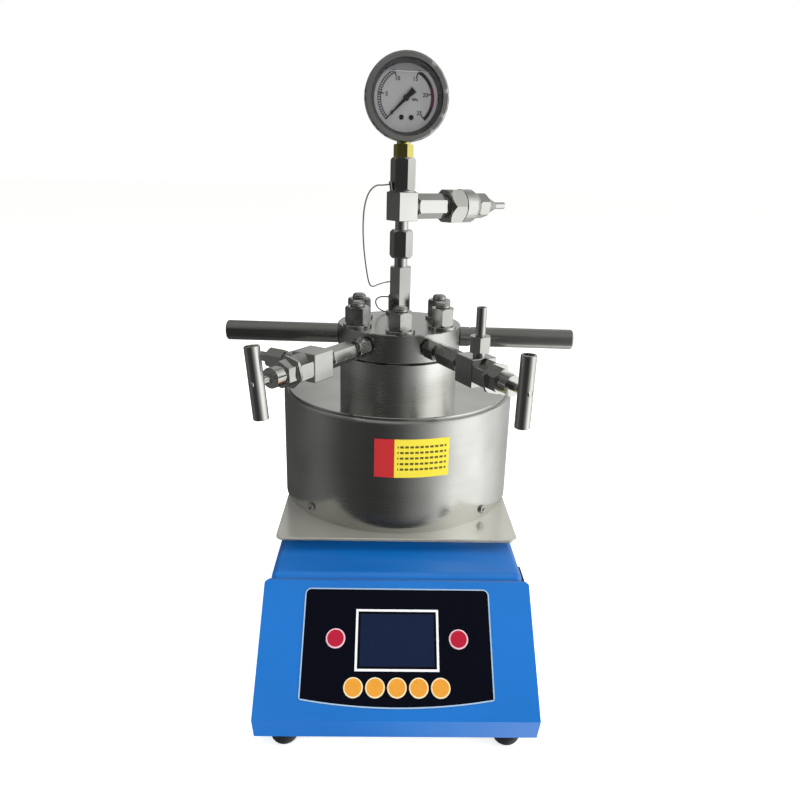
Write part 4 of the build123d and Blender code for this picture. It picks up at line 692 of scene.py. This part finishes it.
# ---------------------------------------------------------------- panel, screen and keys
# A printed film in a shallow recess: black with a fine pale border and a white frame round the
# display.  The seven moulded caps carry a printed rim.
slope = radians(42.7)
slope_up = Vector((0, cos(slope), sin(slope)))
panel_corner = Vector((0, -99.0, 95.0)) * mm
film_half = 67.25
film_top = 5.5
film_round = 4.5
bow_radius = 421.5
bow_middle = bow_radius - 86.9
screen_place = 41.8
frame_half = (29.6, 21.2)
frame_inner = (28.0, 19.6)
lit_half = (26.3, 17.9)
border_width = 0.9
button_across = 43.7
button_down = 41.1
key_pitch = 15.1
key_down = 73.6
cap_bare = 5.9                   # radius inside the printed rim of a cap


def on_panel(nodes, links, place):
    """Distances across and up the sloping panel, in millimetres from its upper edge."""
    return (across_film(nodes, links, place, (1, 0, 0), 0.0, mm),
            across_film(nodes, links, place, slope_up, slope_up.dot(panel_corner), mm))


def inside_box(nodes, links, wide, tall, half):
    """One inside a rectangle round the origin of two distances."""
    sides = [combine(nodes, links, "LESS_THAN", combine(nodes, links, "ABSOLUTE", part, 0), limit)
             for part, limit in zip((wide, tall), half)]
    return both(nodes, links, *sides)


panel_film, nodes, links, shader, place = new_finish("panel_print", (0.0015, 0.002, 0.006), 0.0, 0.25)
shader.inputs["Specular IOR Level"].default_value = 0.12
vary(nodes, links, grain(nodes, links, place, (200, 200, 200)), 0.2, 0.3, shader.inputs["Roughness"])
wide, tall = on_panel(nodes, links, place)
past_side = combine(nodes, links, "MAXIMUM", combine(nodes, links, "SUBTRACT", combine(
    nodes, links, "ABSOLUTE", wide, 0), film_half - film_round), 0)
past_top = combine(nodes, links, "MAXIMUM", combine(
    nodes, links, "ADD", tall, film_top + film_round), 0)
from_edge = combine(
    nodes, links, "SUBTRACT", film_round, length_of(nodes, links, past_side, past_top))
bow = combine(nodes, links, "SUBTRACT", bow_radius, length_of(nodes, links, wide, combine(
    nodes, links, "SUBTRACT", tall, bow_middle)))
border = combine(nodes, links, "LESS_THAN", combine(nodes, links, "MINIMUM", from_edge, bow), border_width)
screen_up = combine(nodes, links, "ADD", tall, screen_place)
frame_line = both(nodes, links, inside_box(nodes, links, wide, screen_up, frame_half), combine(
    nodes, links, "SUBTRACT", 1.0, inside_box(nodes, links, wide, screen_up, frame_inner)))
ground = choose(nodes, links, border, (0.0015, 0.002, 0.006), (0.36, 0.50, 0.66))
links.new(choose(nodes, links, frame_line, ground, (0.85, 0.86, 0.88)), shader.inputs["Base Color"])
finished("panel_overlay", "printed_panel", "reactor", panel_film)

display, nodes, links, shader, place = new_finish("display_glass", (0.006, 0.014, 0.045), 0.0, 0.18)
shader.inputs["Specular IOR Level"].default_value = 0.2
vary(nodes, links, grain(nodes, links, place, (25, 25, 25)), 0.14, 0.22, shader.inputs["Roughness"])
wide, tall = on_panel(nodes, links, place)
screen_up = combine(nodes, links, "ADD", tall, screen_place)
lit = inside_box(nodes, links, wide, screen_up, lit_half)
links.new(choose(nodes, links, lit, (0.001, 0.001, 0.003), (0.006, 0.014, 0.042)),
          shader.inputs["Base Color"])
finished("display_screen", "dark_display", "reactor", display)


def moulded(name, colour, shade):
    """Glossy moulded plastic with a slight cloudiness in its colour."""
    made, nodes, links, shader, place = new_finish(name, colour, 0.0, 0.28)
    tint(nodes, links, grain(nodes, links, place, (220, 220, 220)), shade, colour,
         shader.inputs["Base Color"])
    return made


def rimmed_cap(name, colour, rim, middles, down):
    """Moulded caps with a printed rim outside the bare part round the nearest of their middles."""
    made, nodes, links, shader, place = new_finish(name, colour, 0.0, 0.28)
    wide, tall = on_panel(nodes, links, place)
    nearest = None
    for middle in middles:
        away = combine(nodes, links, "ABSOLUTE", combine(nodes, links, "SUBTRACT", wide, middle), 0)
        nearest = away if nearest is None else combine(nodes, links, "MINIMUM", nearest, away)
    reach = length_of(nodes, links, nearest, combine(nodes, links, "ADD", tall, down))
    clouds = grain(nodes, links, place, (220, 220, 220))
    shade = nodes.new("ShaderNodeValToRGB")
    shade.color_ramp.elements[0].color = (*[part * 0.86 for part in colour], 1)
    shade.color_ramp.elements[1].color = (*colour, 1)
    links.new(clouds, shade.inputs["Fac"])
    outside = combine(nodes, links, "GREATER_THAN", reach, cap_bare)
    links.new(choose(nodes, links, outside, shade.outputs["Color"], rim), shader.inputs["Base Color"])
    return made


red_cap = rimmed_cap("red_cap", (0.46, 0.006, 0.032), (0.80, 0.52, 0.60),
                     (-button_across, button_across), button_down)
orange_cap = rimmed_cap("orange_cap", (0.80, 0.34, 0.035), (0.92, 0.78, 0.50),
                        [key_pitch * i for i in range(-2, 3)], key_down)
for name in ("heat_button", "stir_button"):
    finished(name, f"{name}_cap", name, red_cap)
for name in ("key_set", "key_shift", "key_down", "key_up", "key_time"):
    finished(name, f"{name}_cap", name, orange_cap)

# ---------------------------------------------------------------- switch and rear sockets
# A black rocker in its snap-in frame, a moulded mains inlet and two nickel-plated round sockets.
black_moulding = moulded("black_moulding", (0.012, 0.012, 0.012), (0.008, 0.008, 0.008))
finished("switch_frame", "snap_in_frame", "reactor", black_moulding)
finished("switch_rocker", "black_rocker", "switch_rocker", black_moulding)
finished("power_inlet", "mains_inlet", "reactor", black_moulding)
nickel = steel("nickel_plate", 0.6, 0.15, (120, 120, 120), 0.08)
finished("rear_sockets", "round_sockets", "reactor", nickel)

# ---------------------------------------------------------------- what the shells hold
# Hidden in use: motor, magnets, boards, heater well, wool, liner and stirring bar.
motor_plate = steel("motor_plated", 0.4, 0.3, (200, 200, 200), 0.1)
finished("stir_motor", "drive_motor", "reactor", motor_plate)
finished("drive_rotor", "magnet_rotor", "drive_rotor", motor_plate)
finished("motor_bracket", "folded_bracket", "reactor", zinc)
finished("mantle_base", "mantle_pan", "reactor", zinc)
cast_alloy = steel("cast_alloy", 0.6, 0.5, (500, 500, 500), 0.4)
finished("heater_well", "cast_well", "reactor", cast_alloy)
solder_mask = moulded("solder_mask", (0.01, 0.12, 0.03), (0.008, 0.10, 0.025))
finished("circuit_boards", "fitted_boards", "reactor", solder_mask)
wool, nodes, links, shader, place = new_finish("ceramic_wool", (0.75, 0.74, 0.7), 0.0, 0.95)
relief(nodes, links, grain(nodes, links, place, (400, 400, 400)), 0.6, 0.5 * mm, shader)
finished("mantle_insulation", "wool_ring", "reactor", wool)
white_polymer = moulded("white_polymer", (0.82, 0.82, 0.80), (0.79, 0.79, 0.77))
finished("vessel_liner", "polymer_liner", "reactor", white_polymer)
finished("stir_bar", "coated_magnet", "stir_bar", white_polymer)
